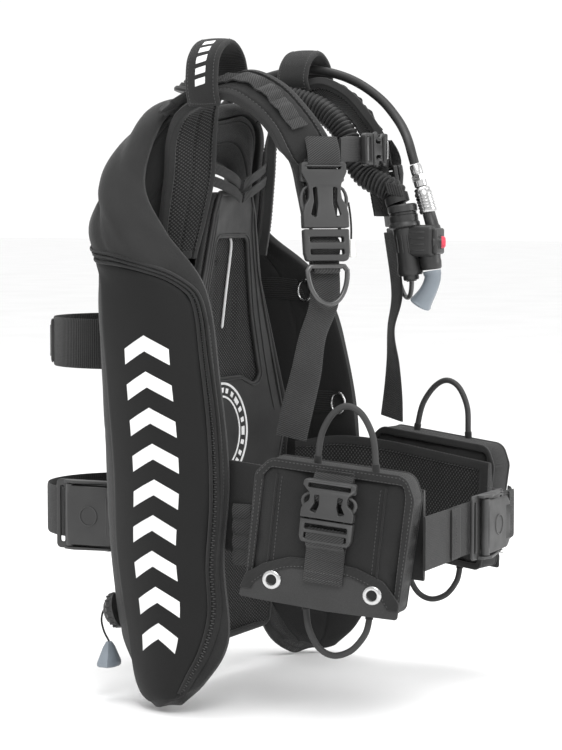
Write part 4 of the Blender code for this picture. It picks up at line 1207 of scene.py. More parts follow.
def release_buckle(socket_name, socket_node, latch_name, latch_node, latch_body, place, width, length, deep,
                   thick, web,
                   look="plastic"):
    """A side-release buckle with a waisted socket, sprung prongs and a two-bar latch."""
    build = Build()
    w = width / 2
    slot = rounded([(-web / 2 - 1, length - 7.5), (web / 2 + 1, length - 7.5), (web / 2 + 1, length - 3.6),
                    (-web / 2 - 1, length - 3.6)], 1.2)
    holes = [slot]
    for s in (-1, 1):
        hole = [(s * w * 0.36, length * 0.62), (s * w * 0.54, length * 0.60), (s * w * 0.50, length * 0.40),
                (s * w * 0.66, length * 0.20), (s * w * 0.44, length * 0.16), (s * w * 0.34, length * 0.36)]
        holes.append(rounded(hole if s > 0 else hole[::-1], 1.2))
    plate(build, [socket_outline(width, length)] + holes, thick * 0.46, 1.2, flat_on(place, thick * 0.25))
    plate(build, [rounded([(-w * 0.98, 0.8), (w * 0.98, 0.8), (w * 0.98, length * 0.2),
                           (-w * 0.98, length * 0.2)], 1.2)],
          thick * 0.46, 1.1, flat_on(place, -thick * 0.25))
    plate(build, [rounded([(-w * 0.96, length * 0.7), (w * 0.96, length * 0.7), (w * 0.96, length * 0.99),
                           (-w * 0.96, length * 0.99)], 2.4), slot], thick * 0.42, 1.1,
          flat_on(place, -thick * 0.22))
    build.block((w * 0.62, thick * 0.9, length * 0.74), (0, 0, length * 0.40), 1.3, place)
    for s in (-1, 1):
        build.block((2.6, thick * 0.86, length * 0.2), (s * (w - 1.5), 0, length * 0.115), 1.0, place)
    rim = [(x * 0.8, thick * 0.49, z) for x, z in ((-w, length * 0.93), (w, length * 0.93))]
    build.tube(moved(place, rim), 0.8, 0, 8)
    made = build.make(socket_name, [LOOKS[look]])
    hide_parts(socket_node)

    build = Build()
    bars = []
    for z in (-deep * 0.34, -deep * 0.72):
        bars.append(rounded([(-web / 2 - 1, z - 2.4), (web / 2 + 1, z - 2.4), (web / 2 + 1, z + 2.4),
                             (-web / 2 - 1, z + 2.4)], 1.2))
    body = rounded([(-w, -0.6), (w, -0.6), (w * 0.99, -deep * 0.75), (w * 0.9, -deep), (-w * 0.9, -deep),
                    (-w * 0.99, -deep * 0.75)],
                   [1.5, 1.5, 4, 3.5, 3.5, 4])
    plate(build, [body] + bars, thick * 0.8, 1.6, flat_on(place))
    build.tube(moved(place, [(-web / 2 - 1, 0.6, -deep * 0.53), (web / 2 + 1, 0.6, -deep * 0.53)]), 2.2, 0,
               12, 1)
    reach = length * 0.56
    for s in (-1, 1):
        arm = [(s * w * 0.62, 0, -1.5), (s * w * 0.72, 0, reach * 0.25), (s * w * 0.93, 0, reach * 0.55),
               (s * w * 1.0, 0, reach * 0.80), (s * w * 0.90, 0, reach * 1.02),
               (s * w * 0.72, 0, reach * 1.12)]
        build.tube(moved(place, arm), [1.7, 1.7, 1.9, 2.1, 2.1, 2.1, 2.0, 1.9, 1.8, 1.6, 1.5, 1.3], 12, 10, 0,
                   guide=turned(place, (0, 1, 0)))
    made = build.make(latch_name, [LOOKS[look], LOOKS["ring"]], latch_body)
    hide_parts(latch_node)


def d_ring_points(width, drop, steps=26):
    half = width / 2
    points = [(x, 0.0, 0.0) for x in np.linspace(-half + 3, half - 3, 10)]
    for k in range(steps + 1):
        a = math.pi * k / steps
        points.append((half * math.cos(a), 0.0, -4.0 - (drop - 4.0) * math.sin(a)))
    return points


def make_chest_fittings():
    """Buckles, D-rings and webbing on both sides of the chest."""
    for name, side in SIDES.items():
        place = buckle_frame(side)
        release_buckle(f"chest_buckle_{name}", f"shoulder_buckle_{name}", f"chest_latch_{name}",
                       f"shoulder_latch_{name}", f"{name}_chest_latch", place, 46.0, 64.0, 31.0, 11.0, 32.0)
        ring = [tuple(place @ Vector((x, 1.0, z - 36.0))) for x, _, z in d_ring_points(40.0, 36.0)]
        build = Build()
        build.tube(ring, 2.5, 0, 16, closed=True)
        made = build.make(f"chest_ring_{name}", looks("ring"), f"{name}_d_ring")
        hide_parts(f"d_ring_{name}")
        chest_webbing(name, side, place)


def chest_webbing(name, side, place):
    top, low = place @ Vector((0, -9.5, -4)), place @ Vector((0, -9.5, -64))
    route = [tuple(top), tuple(low)]
    route += mirrored([(94, -168, 44), (104, -166, 10), (114, -162, -22), (120, -158, -50)], side)
    across = place.to_3x3() @ Vector((30.0, 0, 0))
    start = tuple(across * (1 if across.x * side > 0 else -1))
    widths = [start, start] + mirrored([(24, 17, 2), (20, 22, 4), (14, 26, 6), (8, 28, 6)], side)
    build = Build()
    build.ribbon(route, widths, 2.4, 70)
    wide = turned(place, (33, 0, 0))
    loop = moved(place, [(0, -5.2, 84), (0, -4.6, 74), (0, -4.0, 64), (0, 0.0, 58.6), (0, 5.4, 62.5),
                         (0, 6.0, 70), (0, 3.5, 79), (0, -1.0, 88)])
    build.ribbon(loop, [wide] * len(loop), 2.0, 40)
    lower = moved(place, [(0, -6.6, -40), (0, -5.4, -30), (0, -2.0, -21), (0, 1.4, -16.5), (0, -1.0, -12),
                          (0, -5.8, -8)])
    build.ribbon(lower, [wide * 0.9] * len(lower), 1.8, 30)
    tab = moved(place, [(0, -6.0, -26), (0, -3.5, -33), (0, 0.5, -38.8), (0, -2.5, -41.5), (0, -6.6, -38)])
    build.ribbon(tab, [wide * 0.8] * len(tab), 1.8, 24)
    made = build.make(f"chest_webbing_{name}", looks("webbing"))
    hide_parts(f"shoulder_webbing_{name}")


def make_sternum():
    """Breast strap with its buckle, a webbing keeper and a small steel clip."""
    tall = (0, 0, 25.0)
    place = frame_of((12, -181, 224), (0, 0.03, 1), (1, 0.0, 0))
    behind = [tuple(place @ Vector((0, -8.0, z))) for z in (-4.0, -34.0)]
    right = [(-60.5, -181, 221)] + behind[::-1]
    left = [tuple(place @ Vector((0, -8.0, z))) for z in (2.0, 32.0)] + [(57, -174.5, 225)]
    for name, route in (("right", right), ("left", left)):
        build = Build()
        build.ribbon(route, [tall] * len(route), 2.4, 24)
        made = build.make(f"breast_strap_{name}", looks("belt"))
        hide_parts(f"sternum_strap_{name}")
    release_buckle("breast_buckle", "sternum_buckle", "breast_latch_detail", "sternum_latch", "breast_latch",
                   place, 32.0, 28.0, 17.4, 8.5, 22.0, "dark_plastic")
    keeper = Build()
    local = frame_of((54.0, -176.5, 224), (1, 0.15, 0), (0, 0, 1))
    keeper.block((9, 7, 33), (0, 0, 0), 1.6, local, 0)
    keeper.block((2.6, 1.6, 18), (0, -4.2, 0), 0.6, local, 1)
    made = keeper.make("breast_strap_keepers", looks("dark_plastic", "steel"))


make_shoulder_straps()
make_hose_loops()
make_load_straps()
make_chest_fittings()
make_sternum()


# --- back ---------------------------------------------------------------------------------

UPPER_BAND_Z, LOWER_BAND_Z = 31.0, -140.0


def back_surface(x, z):
    """How far forward the back pad's middle lies: wings forward at the sides, leaning at the top."""
    lean = max(0.0, (z + 40.0) / 225.0)
    return -12.0 - 16.0 * (x / 105.0) ** 2 - 18.0 * lean**1.3


def on_back(lift, relief=None):
    """Maps flat (u, v) on the pad's front, w and lift counting towards the wearer."""

    def bend(u, v, w):
        extra = relief(u, v) if relief is not None and w > 0 else 0.0
        return (u, back_surface(u, v) - lift - w - extra, v)

    return bend


def both(half):
    return [(x, z) for x, z in half] + [(-x, z) for x, z in half[::-1]]


def pad_relief(u, v):
    """Sewn channels in the mesh pad, and the soft swell between them."""
    swell = 1.6 * math.sin(math.pi * min(1.0, abs(u) / 60.0)) * max(0.0, 1 - abs(v - 30) / 160.0)
    channel = -1.8 * math.exp(-(((abs(u) - 18.0 - 0.05 * v) / 2.0) ** 2))
    return swell + channel


def make_back():
    half = [(96, -270), (100, -236), (110, -150), (118, -118), (124, -50), (104, 10), (70, 92),
            (54, 150), (42, 180)]
    build = Build()
    plate(build, [rounded(both(half), 10)], 7.0, 2.6, on_back(0.0, pad_relief), 7.0)
    made = build.make("back_mesh_pad", looks("mesh"))
    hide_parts("back_pad")
    trim = Build()
    edge = [(u, back_surface(u, v) - 1.0, v) for u, v in inset(rounded(both(half), 10), 1.0)]
    trim.tube(edge, 3.4, 0, 10, 0, closed=True)
    made = trim.make("back_pad_binding", looks("binding"))
    make_back_frame()
    make_badge()


RIDGE = ((37, 170), (42, 136), (62, 64), (82, 0), (97, -45))


def make_back_frame():
    """The moulded A-frame with raised rims, and a reflective piping down its middle."""
    arm = [(104, -108), (116, -56), (88, 30), (60, 104), (46, 160), (35, 184)]
    hole = [(76, -18), (50, 60), (32, 136), (-32, 136), (-50, 60), (-76, -18), (-40, -4), (40, -4)]
    outer, window = rounded(both(arm), 6, 5), rounded(hole, 8, 6)
    build = Build()
    plate(build, [outer, window], 4.0, 1.4, on_back(6.6), 12.0)
    rim = [(u, back_surface(u, v) - 8.6, v) for u, v in inset(outer, 4.0)]
    build.tube(rim, 1.5, 0, 8, 0, closed=True, flat=0.8)
    rim = [(u, back_surface(u, v) - 8.4, v) for u, v in inset(window, -4.0)]
    build.tube(rim, 1.3, 0, 8, 0, closed=True, flat=0.8)
    for side in SIDES.values():
        ridge = [(side * x, back_surface(x, z) - 8.4, z) for x, z in RIDGE]
        build.tube(ridge, [0.4] + [1.6] * 38 + [0.4], 40, 8, 0, flat=0.7)
    made = build.make("back_frame_moulding", looks("frame"))
    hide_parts("back_frame")
    piping = Build()
    route = [(x, back_surface(x, z) - 5.4, z) for x, z in ((0, 142), (6, 131), (6, 115), (3, 80), (0, 45))]
    piping.tube(route, [0.3] + [1.4] * 46 + [0.3], 48, 8)
    made = piping.make("back_reflective_piping", looks("piping"))


def make_badge():
    """Two plain rings with tick marks, low on the frame."""
    centre_u, centre_v = 0.0, -62.0
    build = Build()

    def ring_at(r0, r1, count=64):
        outer = [(centre_u + r1 * math.cos(a), centre_v + r1 * math.sin(a))
                 for a in np.linspace(0, 2 * math.pi, count, False)]
        inner = [(centre_u + r0 * math.cos(a), centre_v + r0 * math.sin(a))
                 for a in np.linspace(0, 2 * math.pi, count, False)]
        plate(build, [outer, inner], 0.6, 0.1, on_back(8.95), 14.0)

    ring_at(50.0, 52.5)
    ring_at(37.0, 39.0)
    for k in range(24):
        a0 = 2 * math.pi * k / 24
        wide = 0.055 if k % 3 else 0.10
        corners = [(centre_u + r * math.cos(a0 + t), centre_v + r * math.sin(a0 + t))
                   for r, t in ((42.0, -wide), (47.0, -wide), (47.0, wide), (42.0, wide))]
        plate(build, [corners], 0.6, 0.1, on_back(8.95), 400.0)
    made = build.make("back_badge_rings", looks("mark"))


def make_plate_finish():
    refinish("back_plate", "frame")


# --- waist --------------------------------------------------------------------------------

POCKET_BACK = {"right": -155.0, "left": -124.0}
POCKET_LONG, POCKET_TALL, POCKET_DEPTH = 153.0, 130.0, 34.0
POCKET_X, POCKET_TURN, POCKET_DROP, POCKET_TOP = 187.0, 0.155, 0.11, -60.0


def pocket_place(name):
    """A pocket's frame: x forward along the outer face, y outward, z up, origin at its top rear."""
    side = SIDES[name]
    ahead = Vector((-POCKET_TURN * side, -1.0, -POCKET_DROP)).normalized()
    up = Vector((0.0, 0.0, 1.0))
    up = (up - ahead * up.dot(ahead)).normalized()
    outward = Vector((side, -POCKET_TURN, 0.0)).normalized()
    outward = (outward - up * outward.dot(up) - ahead * outward.dot(ahead)).normalized()
    turn = Matrix((ahead, outward, up)).transposed().to_4x4()
    origin = Vector((side * POCKET_X, POCKET_BACK[name], POCKET_TOP))
    return Matrix.Translation(origin) @ turn


def make_waist_pads():
    """Bound mesh pads with dotted grip rows round the hips."""
    stations = [(114, -50, -138, -108, -78), (134, -92, -156, -114, -72), (142, -150, -164, -120, -76),
                (142, -220, -170, -127, -84), (142, -288, -176, -134, -92)]
    for name, side in SIDES.items():
        shift = POCKET_BACK[name] + 147.0
        rows = []
        for free_x, y, low, middle, high in stations:
            y += shift * max(0.0, (-y - 100.0) / 190.0)
            inner = POCKET_X - POCKET_DEPTH - POCKET_TURN * (POCKET_BACK[name] - y)
            x = min(free_x, inner - 7.5)
            rows.append(mirrored([(x, y, z) for z in (low, middle, high)], side))
        u = edge_shares(28, 0.5)
        grid = sheet_grid(rows, 90, u)
        crown = np.sin(math.pi * np.clip(u, 0, 1)) ** 0.4
        depth = np.broadcast_to(4.0 + 5.0 * crown, grid.shape[:2])
        v = np.broadcast_to(np.linspace(0, 1, 91)[:, None], depth.shape)
        rim = np.broadcast_to(np.minimum(u, 1 - u), depth.shape)
        rim = np.minimum(rim, (1 - v) * 2.4)
        bound = rim < 0.11
        groove = 0.7 * bound - 1.3 * bump_of(rim, 0.135, 0.02)
        both_rows = (bump_of(u, 0.62, 0.03) + bump_of(u, 0.38, 0.03))[None, :]
        dimples = -0.9 * bump_of((v * 14) % 1.0, 0.5, 0.10) * both_rows
        flip = normals(grid)[45, 14][0] * side > 0
        kinds = np.where(bound[:, :-1], 1, 0)
        build = Build()
        build.cushion(grid, depth / 2 + groove + dimples, depth / 2, 0, 2, kinds, flip)
        sheet = Sheet(grid, depth / 2 + 0.3, flip)
        for u_at in (0.16, 0.84):
            points, ways = sheet.at(np.full(90, u_at), np.linspace(0.04, 0.93, 90), 0.2)
            build.stitches(points, ways, 3, 3.6)
        made = build.make(f"hip_pad_{name}", looks("mesh", "binding", "canvas", "thread"))
        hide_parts(f"waist_pad_{name}")


def puff(made, place, cap, pressure=4.0, voxel=0.005, frames=20):
    """Swells a closed form as cloth under pressure, no point moving further than cap."""
    remesh = made.modifiers.new("even", "REMESH")
    remesh.mode = "VOXEL"
    remesh.voxel_size = voxel
    graph = bpy.context.evaluated_depsgraph_get()
    even = bpy.data.meshes.new_from_object(made.evaluated_get(graph))
    made.modifiers.clear()
    for look in made.data.materials:
        if look.name not in [m.name for m in even.materials if m]:
            even.materials.append(look)
    made.data = even
    start = np.array([v.co for v in even.vertices])
    cloth = made.modifiers.new("cloth", "CLOTH")
    cloth.settings.use_pressure = True
    cloth.settings.uniform_pressure_force = pressure
    cloth.settings.effector_weights.gravity = 0.0
    cloth.settings.quality = 4
    cloth.collision_settings.use_collision = False
    cloth.point_cache.frame_start, cloth.point_cache.frame_end = 1, frames
    for k in range(1, frames + 1):
        bpy.context.scene.frame_set(k)
    graph = bpy.context.evaluated_depsgraph_get()
    swollen = np.array([v.co for v in made.evaluated_get(graph).data.vertices])
    made.modifiers.clear()
    bpy.context.scene.frame_set(1)
    move = swollen - start
    far = np.linalg.norm(move, axis=1, keepdims=True)
    move *= np.minimum(1.0, cap * MM / np.maximum(far, 1e-9))
    even.vertices.foreach_set("co", (start + move).ravel())
    sub = made.modifiers.new("smooth", "SUBSURF")
    sub.levels = sub.render_levels = 1
    graph = bpy.context.evaluated_depsgraph_get()
    made.data = bpy.data.meshes.new_from_object(made.evaluated_get(graph))
    made.modifiers.clear()
    made.data.shade_smooth()
    box_uv(made.data, place)


def box_uv(mesh, place):
    """UVs in metres, each face laid flat along the nearest axis of a local frame."""
    back = place.inverted()
    turn = back.to_3x3()
    layer = mesh.uv_layers.get("metres") or mesh.uv_layers.new(name="metres")
    local = [back @ (v.co / MM) for v in mesh.vertices]
    for face in mesh.polygons:
        n = turn @ face.normal
        way = max(range(3), key=lambda k: abs(n[k]))
        keep = [k for k in range(3) if k != way]
        for loop in face.loop_indices:
            p = local[mesh.loops[loop].vertex_index]
            layer.data[loop].uv = (p[keep[0]] * MM, p[keep[1]] * MM)


POUCH = [(0, -16), (14, 0), (POCKET_LONG - 10, 0), (POCKET_LONG, -20), (POCKET_LONG - 4, -POCKET_TALL),
         (2, -POCKET_TALL)]
POUCH_RADII = [10, 14, 14, 16, 8, 8]


def pouch_outline(by):
    """The pouch's outline moved inward, its corners kept round enough to bevel."""
    return rounded(inset(POUCH, by), [max(r - by, 4.0) for r in POUCH_RADII])


def make_weight_pockets():
    for name in SIDES:
        place = pocket_place(name)
        build = Build()
        plate(build, [rounded(inset(POUCH, 2.0), 8)], POCKET_DEPTH - 5.0, 5.0,
              flat_on(place, -POCKET_DEPTH / 2 - 0.2))
        made = build.make(f"pouch_{name}", looks("canvas"))
        puff(made, place, 4.0)
        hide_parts(f"weight_pocket_{name}")
        pocket_trim(name, place, BVHTree.FromObject(made, bpy.context.evaluated_depsgraph_get()))


def pocket_trim(name, place, tree):
    """Bound rims, pleat seams and their stitching, laid on the swollen pouch."""
    out = turned(place, (0, 1, 0))

    def drop(u, v, lift):
        start = place @ Vector((u, 40.0, v))
        hit, _, _, _ = tree.ray_cast(start * MM, -Vector(out))
        if hit is None or (place.inverted() @ (hit / MM)).y < -8.0:
            return np.array(place @ Vector((u, lift, v)))
        return np.array(hit / MM) + out * lift

    build = Build()
    for depth, wide in ((0.2, 9.0), (-POCKET_DEPTH + 3.0, 8.0)):
        plate(build, [pouch_outline(0.0), pouch_outline(wide)], 4.2, 1.7, flat_on(place, depth - 1.7), look=0)
    plate(build, [pouch_outline(0.8), pouch_outline(3.6)], POCKET_DEPTH - 3.0, 0.8,
          flat_on(place, -POCKET_DEPTH / 2), look=1)
    for rim in (2.4, 8.0):
        line = np.array([tuple(place @ Vector((u, 0.65, v))) for u, v in pouch_outline(rim)])
        line = np.vstack([line, line[:1]])
        build.stitches(line, out, 2, 3.6)
    for u in (22.0, 27.0, 121.0, 126.0):
        heights = np.linspace(-14.0, -POCKET_TALL + 12.0, 30)
        line = np.array([drop(u, v, 0.4) for v in heights])
        if u in (22.0, 126.0):
            build.tube(line, 1.3, 40, 8, 1)
        else:
            build.stitches(line, out, 2, 3.6)
    made = build.make(f"pouch_binding_{name}", looks("binding", "canvas", "thread"))
    pocket_flap(name, place)
    pocket_webbing(name, place, drop)


def pocket_flap(name, place):
    """The coated flap, its bound arch and its eyelets."""
    low = -POCKET_TALL - 1.0
    flap = [(-2, low), (77, low - 2.0), (POCKET_LONG - 3, low), (POCKET_LONG - 3, -116), (133, -98),
            (107, -89.5),
            (77, -87), (42, -88.5), (18, -98), (2, -110)]
    outline = rounded(flap, [3, 3, 3, 8, 14, 16, 20, 16, 14, 8])
    build = Build()

    def curl(lift):
        def bend(u, v, w):
            away = 2.6 * ease(np.array(-v), 112.0, 133.0) + 0.8 * math.sin(u * 0.075)
            return place @ Vector((u, lift + w + float(away), v))
        return bend

    plate(build, [outline], 2.0, 0.6, curl(1.9), 8.0, 0)
    arch_outer = [(POCKET_LONG - 3.5, low + 8), (POCKET_LONG - 3.5, -116), (133, -98.3), (107, -89.8),
                  (77, -87.3), (42, -88.8),
                  (18, -98.3), (2, -110), (-1.4, low + 8)]
    arch_inner = [(9.5, low + 8), (12, -116), (25, -106), (45, -98.5), (77, -96.5), (104, -99), (126, -107),
                  (138, -121),
                  (POCKET_LONG - 14, low + 8)]
    plate(build, [rounded(arch_outer + arch_inner,
                          [1.0, 8, 14, 14, 16, 14, 12, 8, 1.0, 1.0, 6, 8, 12, 16, 12, 8, 6, 1.0], 4)],
          1.4, 0.5, curl(3.3), 8.0, 1)
    line = [(POCKET_LONG - 12, low + 10)] + [(x, z) for x, z in arch_inner[::-1][1:-1]] + [(8, low + 10)]
    line = smooth(line, 120)
    place_at = curl(4.0)
    build.stitches([tuple(place_at(u, v + 1.6, 0.0)) for u, v in line], turned(place, (0, 1, 0)), 2, 3.4)
    made = build.make(f"pouch_flap_{name}", looks("flap", "binding", "thread"))
    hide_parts(f"pocket_flap_{name}")
    for label, u in (("rear", 28.0), ("front", 124.0)):
        eyelet(name, label, u, curl(2.9), place)


def eyelet(name, label, u, spot, place):
    """A rolled steel eyelet, with the dark cloth showing through its hole."""
    build = Build()
    centre = Vector(spot(u, -112.0, 0.0))
    out, x, z = (place.to_3x3() @ Vector(a) for a in ((0, 1, 0), (1, 0, 0), (0, 0, 1)))
    rings = []
    for k in range(36):
        a = 2 * math.pi * k / 36
        way = x * math.cos(a) + z * math.sin(a)
        section = [(4.7, -0.5), (4.5, 0.8), (5.2, 1.9), (6.6, 2.3), (8.2, 1.7), (9.3, 0.6), (9.4, -0.5)]
        rings.append([tuple(centre + way * r + out * h) for r, h in section])
    build.skin(rings, closed=True)
    build.lathe(centre - out * 0.2, centre + out * 0.25, [(0, 4.9), (0.2, 5.0), (1, 5.0)], 24, 1)
    made = build.make(f"eyelet_{name}_{label}", looks("steel", "lining"))
    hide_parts(f"grommet_{name}_{label}")


def pocket_webbing(name, place, drop):
    """The webbing that runs down the pouch through its buckle."""
    wide = turned(place, (37, 0, 0))
    build = Build()
    top = [drop(77.0, v, 1.6) for v in (-4.0, -14.0, -24.0)]
    top += [np.array(place @ Vector((77.0, h, v))) for h,
            v in ((8.0, -30.0), (11.6, -31.2), (13.2, -26.0), (9.0, -16.0))]
    top += [drop(77.0, -7.0, 3.4)]
    build.ribbon(top, [wide] * len(top), 2.0, 60)
    low = [drop(77.0, -44.0, 1.4), drop(77.0, -70.0, 1.4), np.array(place @ Vector((77.0, 6.0, -77.0))),
           np.array(place @ Vector((77.0, 6.2, -94.0))), np.array(place @ Vector((77.0, 5.6, -108.0)))]
    build.ribbon(low, [wide] * len(low), 2.2, 50)
    loop = [(77.0, 7.0, -86.0), (77.0, 8.6, -76.0), (77.0, 13.0, -71.8), (77.0, 15.0, -67.0),
            (77.0, 14.5, -62.0),
            (77.0, 11.0, -57.6), (77.0, 7.0, -60.0)]
    build.ribbon(moved(place, loop), [wide * 0.98] * len(loop), 1.8, 50)
    out = turned(place, (0, 1, 0))
    for v in (-98.0, -104.5):
        line = moved(place, [(59.0 + 36.0 * t, 7.4, v) for t in np.linspace(0, 1, 10)])
        build.stitches(line, out, 1, 2.8)
    for v in (-8.0, -12.0):
        line = np.array([drop(77.0 + s, v, 4.9) for s in np.linspace(-16, 16, 10)])
        build.stitches(line, out, 1, 2.8)
    made = build.make(f"pouch_webbing_{name}", looks("webbing", "thread"))


def make_pocket_buckles():
    for name in SIDES:
        place = pocket_place(name)
        origin = place @ Vector((77.0, 11.4, -48.0))
        ahead, up, outward = (place.to_3x3() @ Vector(a) for a in ((1, 0, 0), (0, 0, 1), (0, 1, 0)))
        if up.cross(ahead).dot(outward) < 0:
            ahead = -ahead
        local = frame_of(origin, ahead, up)
        release_buckle(f"pouch_buckle_{name}", f"pocket_buckle_{name}", f"pouch_latch_{name}",
                       f"pocket_latch_{name}",
                       f"{name}_pocket_latch", local, 50.0, 36.0, 22.3, 11.0, 38.0)


def make_small_webbings():
    """Short webbings from the yoke to the frame's cap, and ribbed loops beside each pouch."""
    for name, side in SIDES.items():
        build = Build()
        for drop in (0.0, 13.0):
            route = mirrored([(66, -40, 208 - drop), (44, -45, 203 - drop), (20, -47, 196 - drop),
                              (4, -45, 190 - drop)], side)
            build.ribbon(route, [(0.0, -2.0, 10.0)] * 4, 2.0, 24)
        heights = np.linspace(-112.0, -170.0, 33)
        route = []
        for k, z in enumerate(heights):
            bulge = 2.4 * abs(math.sin(math.pi * k / 8.0))
            route.append((side * (146.0 + bulge), -120.0, z))
        build.ribbon(route, [(0.0, 20.0, 0.0)] * len(route), 1.8, 64)
        made = build.make(f"small_webbings_{name}", looks("webbing"))


make_back()
make_small_webbings()
make_plate_finish()
make_waist_pads()
make_weight_pockets()
make_pocket_buckles()


# --- belts and bands ----------------------------------------------------------------------

BELT_WIDTH, BELT_Z = 50.0, -138.0
BUCKLE_X, BUCKLE_Y = (-34.0, 46.0), -300.0
UPPER_BAND, LOWER_BAND = (81.0, 80.0), (86.0, 83.0)  # each band's middle along Y and its radius


def make_waist_belt():
    tall = (0, 0, BELT_WIDTH)
    right = [(-150, -307, BELT_Z), (-116, -306, BELT_Z), (-86, -305, BELT_Z), (-60, -303, BELT_Z),
             (BUCKLE_X[0] + 14, -302, BELT_Z)]
    left = [(BUCKLE_X[1] - 12, -302, BELT_Z), (76, -301, BELT_Z), (102, -296, BELT_Z), (116, -288, BELT_Z)]
    for name, route in (("right", right), ("left", left)):
        build = Build()
        build.ribbon(route, [tall] * len(route), 2.4, 48)
        doubled = [(x, y - 2.6, z) for x, y, z in (right[2:4] if name == "right" else left[1:3])]
        build.ribbon(doubled, [(0, 0, BELT_WIDTH - 2.0)] * 2, 1.8, 16)
        x = doubled[0][0] + 3
        for shift in (0.0, 6.0):
            line = [(x + shift, doubled[0][1] - 1.4, z) for z in np.linspace(BELT_Z - 21, BELT_Z + 21, 14)]
            build.stitches(line, (0, -1, 0), 1, 3.0)
        made = build.make(f"waist_webbing_{name}", looks("belt", "thread"))
        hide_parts(f"waist_belt_{name}")


def cam_buckle(frame_name, frame_node, lever_name, lever_node, lever_body, place, long, tall, cheek):
    """A slotted frame with two cheeks, and a lever with a thumb lip and a plain embossed ring."""
    build = Build()
    outline = rounded([(-long / 2, -tall / 2), (long / 2, -tall / 2), (long / 2, tall / 2),
                       (-long / 2, tall / 2)], 5)
    slots = [rounded([(x - 2.5, -tall / 2 + 6.5), (x + 2.5, -tall / 2 + 6.5), (x + 2.5, tall / 2 - 6.5),
                      (x - 2.5, tall / 2 - 6.5)], 2)
             for x in (-long * 0.41, long * 0.41)]
    plate(build, [outline] + slots, 3.0, 1.1, flat_on(place, 1.5))
    for s in (-1, 1):
        side = [(-long * 0.36, 2.0), (long * 0.36, 2.0), (long * 0.34, cheek * 0.75),
                (long * 0.18, cheek + 1.0),
                (-long * 0.05, cheek * 0.8), (-long * 0.33, cheek * 0.45)]
        local = place @ Matrix.Translation(Vector((0, 0, s * (tall / 2 - 1.6))))
        plate(build, [rounded(side, 2.0)], 3.0, 0.9, lambda u, v, w, local=local: local @ Vector((u, v, w)))
    made = build.make(frame_name, looks("plastic"))
    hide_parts(frame_node)

    pivot_x, pivot_y = long * 0.25, 8.0
    width = tall - 7.8
    build = Build()
    build.tube(moved(place, [(pivot_x, pivot_y, -width / 2), (pivot_x, pivot_y, width / 2)]), 4.2, 2, 24)
    blade = [(pivot_x + 2, -width / 2 + 1), (pivot_x + 2, width / 2 - 1),
             (pivot_x - long * 0.60, width / 2 - 2),
             (pivot_x - long * 0.68, width / 2 - 8), (pivot_x - long * 0.68, -width / 2 + 8),
             (pivot_x - long * 0.60, -width / 2 + 2)]

    def crown(u, v, w):
        return place @ Vector((u, pivot_y + 1.6 + w + 1.2 * math.cos(v / width * 2.4), v))

    plate(build, [rounded(blade, [2, 2, 5, 6, 6, 5])], 3.6, 1.3, crown, 7.0)
    middle = pivot_x - long * 0.30
    ring = [(middle + 9.5 * math.cos(a), pivot_y + 4.6, 9.5 * math.sin(a))
            for a in np.linspace(0, 2 * math.pi, 40, False)]
    build.tube(moved(place, ring), 0.8, 0, 8, closed=True)
    for k in range(4):
        x = pivot_x - long * 0.56 - k * 2.6
        build.tube(moved(place, [(x, pivot_y + 4.0, -width * 0.3), (x, pivot_y + 4.2, width * 0.3)]), 0.7, 6,
                   8)
    made = build.make(lever_name, looks("plastic"), lever_body)
    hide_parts(lever_node)


def make_cam_buckles():
    centre_x = sum(BUCKLE_X) / 2
    place = frame_of((centre_x, BUCKLE_Y - 6.0, BELT_Z), (1, 0, 0), (0, 0, 1)) @ Matrix.Rotation(math.pi, 4,
                                                                                                 "Z")
    cam_buckle("waist_buckle_plate", "waist_buckle_frame", "waist_buckle_cam", "waist_buckle_lever",
               "waist_lever",
               place, 82.0, 62.0, 12.0)
    middle, radius = LOWER_BAND
    place = frame_of((-radius - 4.0, middle - 6.0, LOWER_BAND_Z), (0, 1, 0), (0, 0, 1))
    if (place.to_3x3() @ Vector((0, 1, 0))).x > 0:
        place = place @ Matrix.Rotation(math.pi, 4, "Z")
    cam_buckle("cylinder_buckle_plate", "tank_buckle_frame", "cylinder_buckle_cam", "tank_buckle_lever",
               "cylinder_lever", place, 78.0, 70.0, 12.0)


def make_cylinder_bands():
    bands = (("upper", UPPER_BAND_Z, UPPER_BAND), ("lower", LOWER_BAND_Z, LOWER_BAND))
    for name, z, (middle, radius) in bands:
        route = [(-58, 3.0, z), (-63, 18, z)]
        for degrees in range(-120, 121, 15):
            a = math.radians(degrees)
            route.append((radius * math.sin(a), middle + radius * math.cos(a), z))
        route += [(63, 18, z), (58, 3.0, z)]
        build = Build()
        build.ribbon(route, [(0, 0, BELT_WIDTH)] * len(route), 2.4, 140)
        if name == "upper":
            grip = []
            for degrees in range(-38, 52, 9):
                a = math.radians(degrees)
                grip.append(((radius + 2.6) * math.sin(a), middle + (radius + 2.6) * math.cos(a), z))
            build.ribbon(grip, [(0, 0, 44.0)] * len(grip), 2.6, 50, 1)
            for k in range(9):
                a = math.radians(-30 + 9 * k)
                x, y = (radius + 3.6) * math.sin(a), middle + (radius + 3.6) * math.cos(a)
                build.tube([(x, y, z - 16), (x, y, z + 16)], 1.0, 4, 8, 1)
        made = build.make(f"cylinder_band_{name}", looks("belt", "rubber"))
        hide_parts(f"tank_band_{name}")


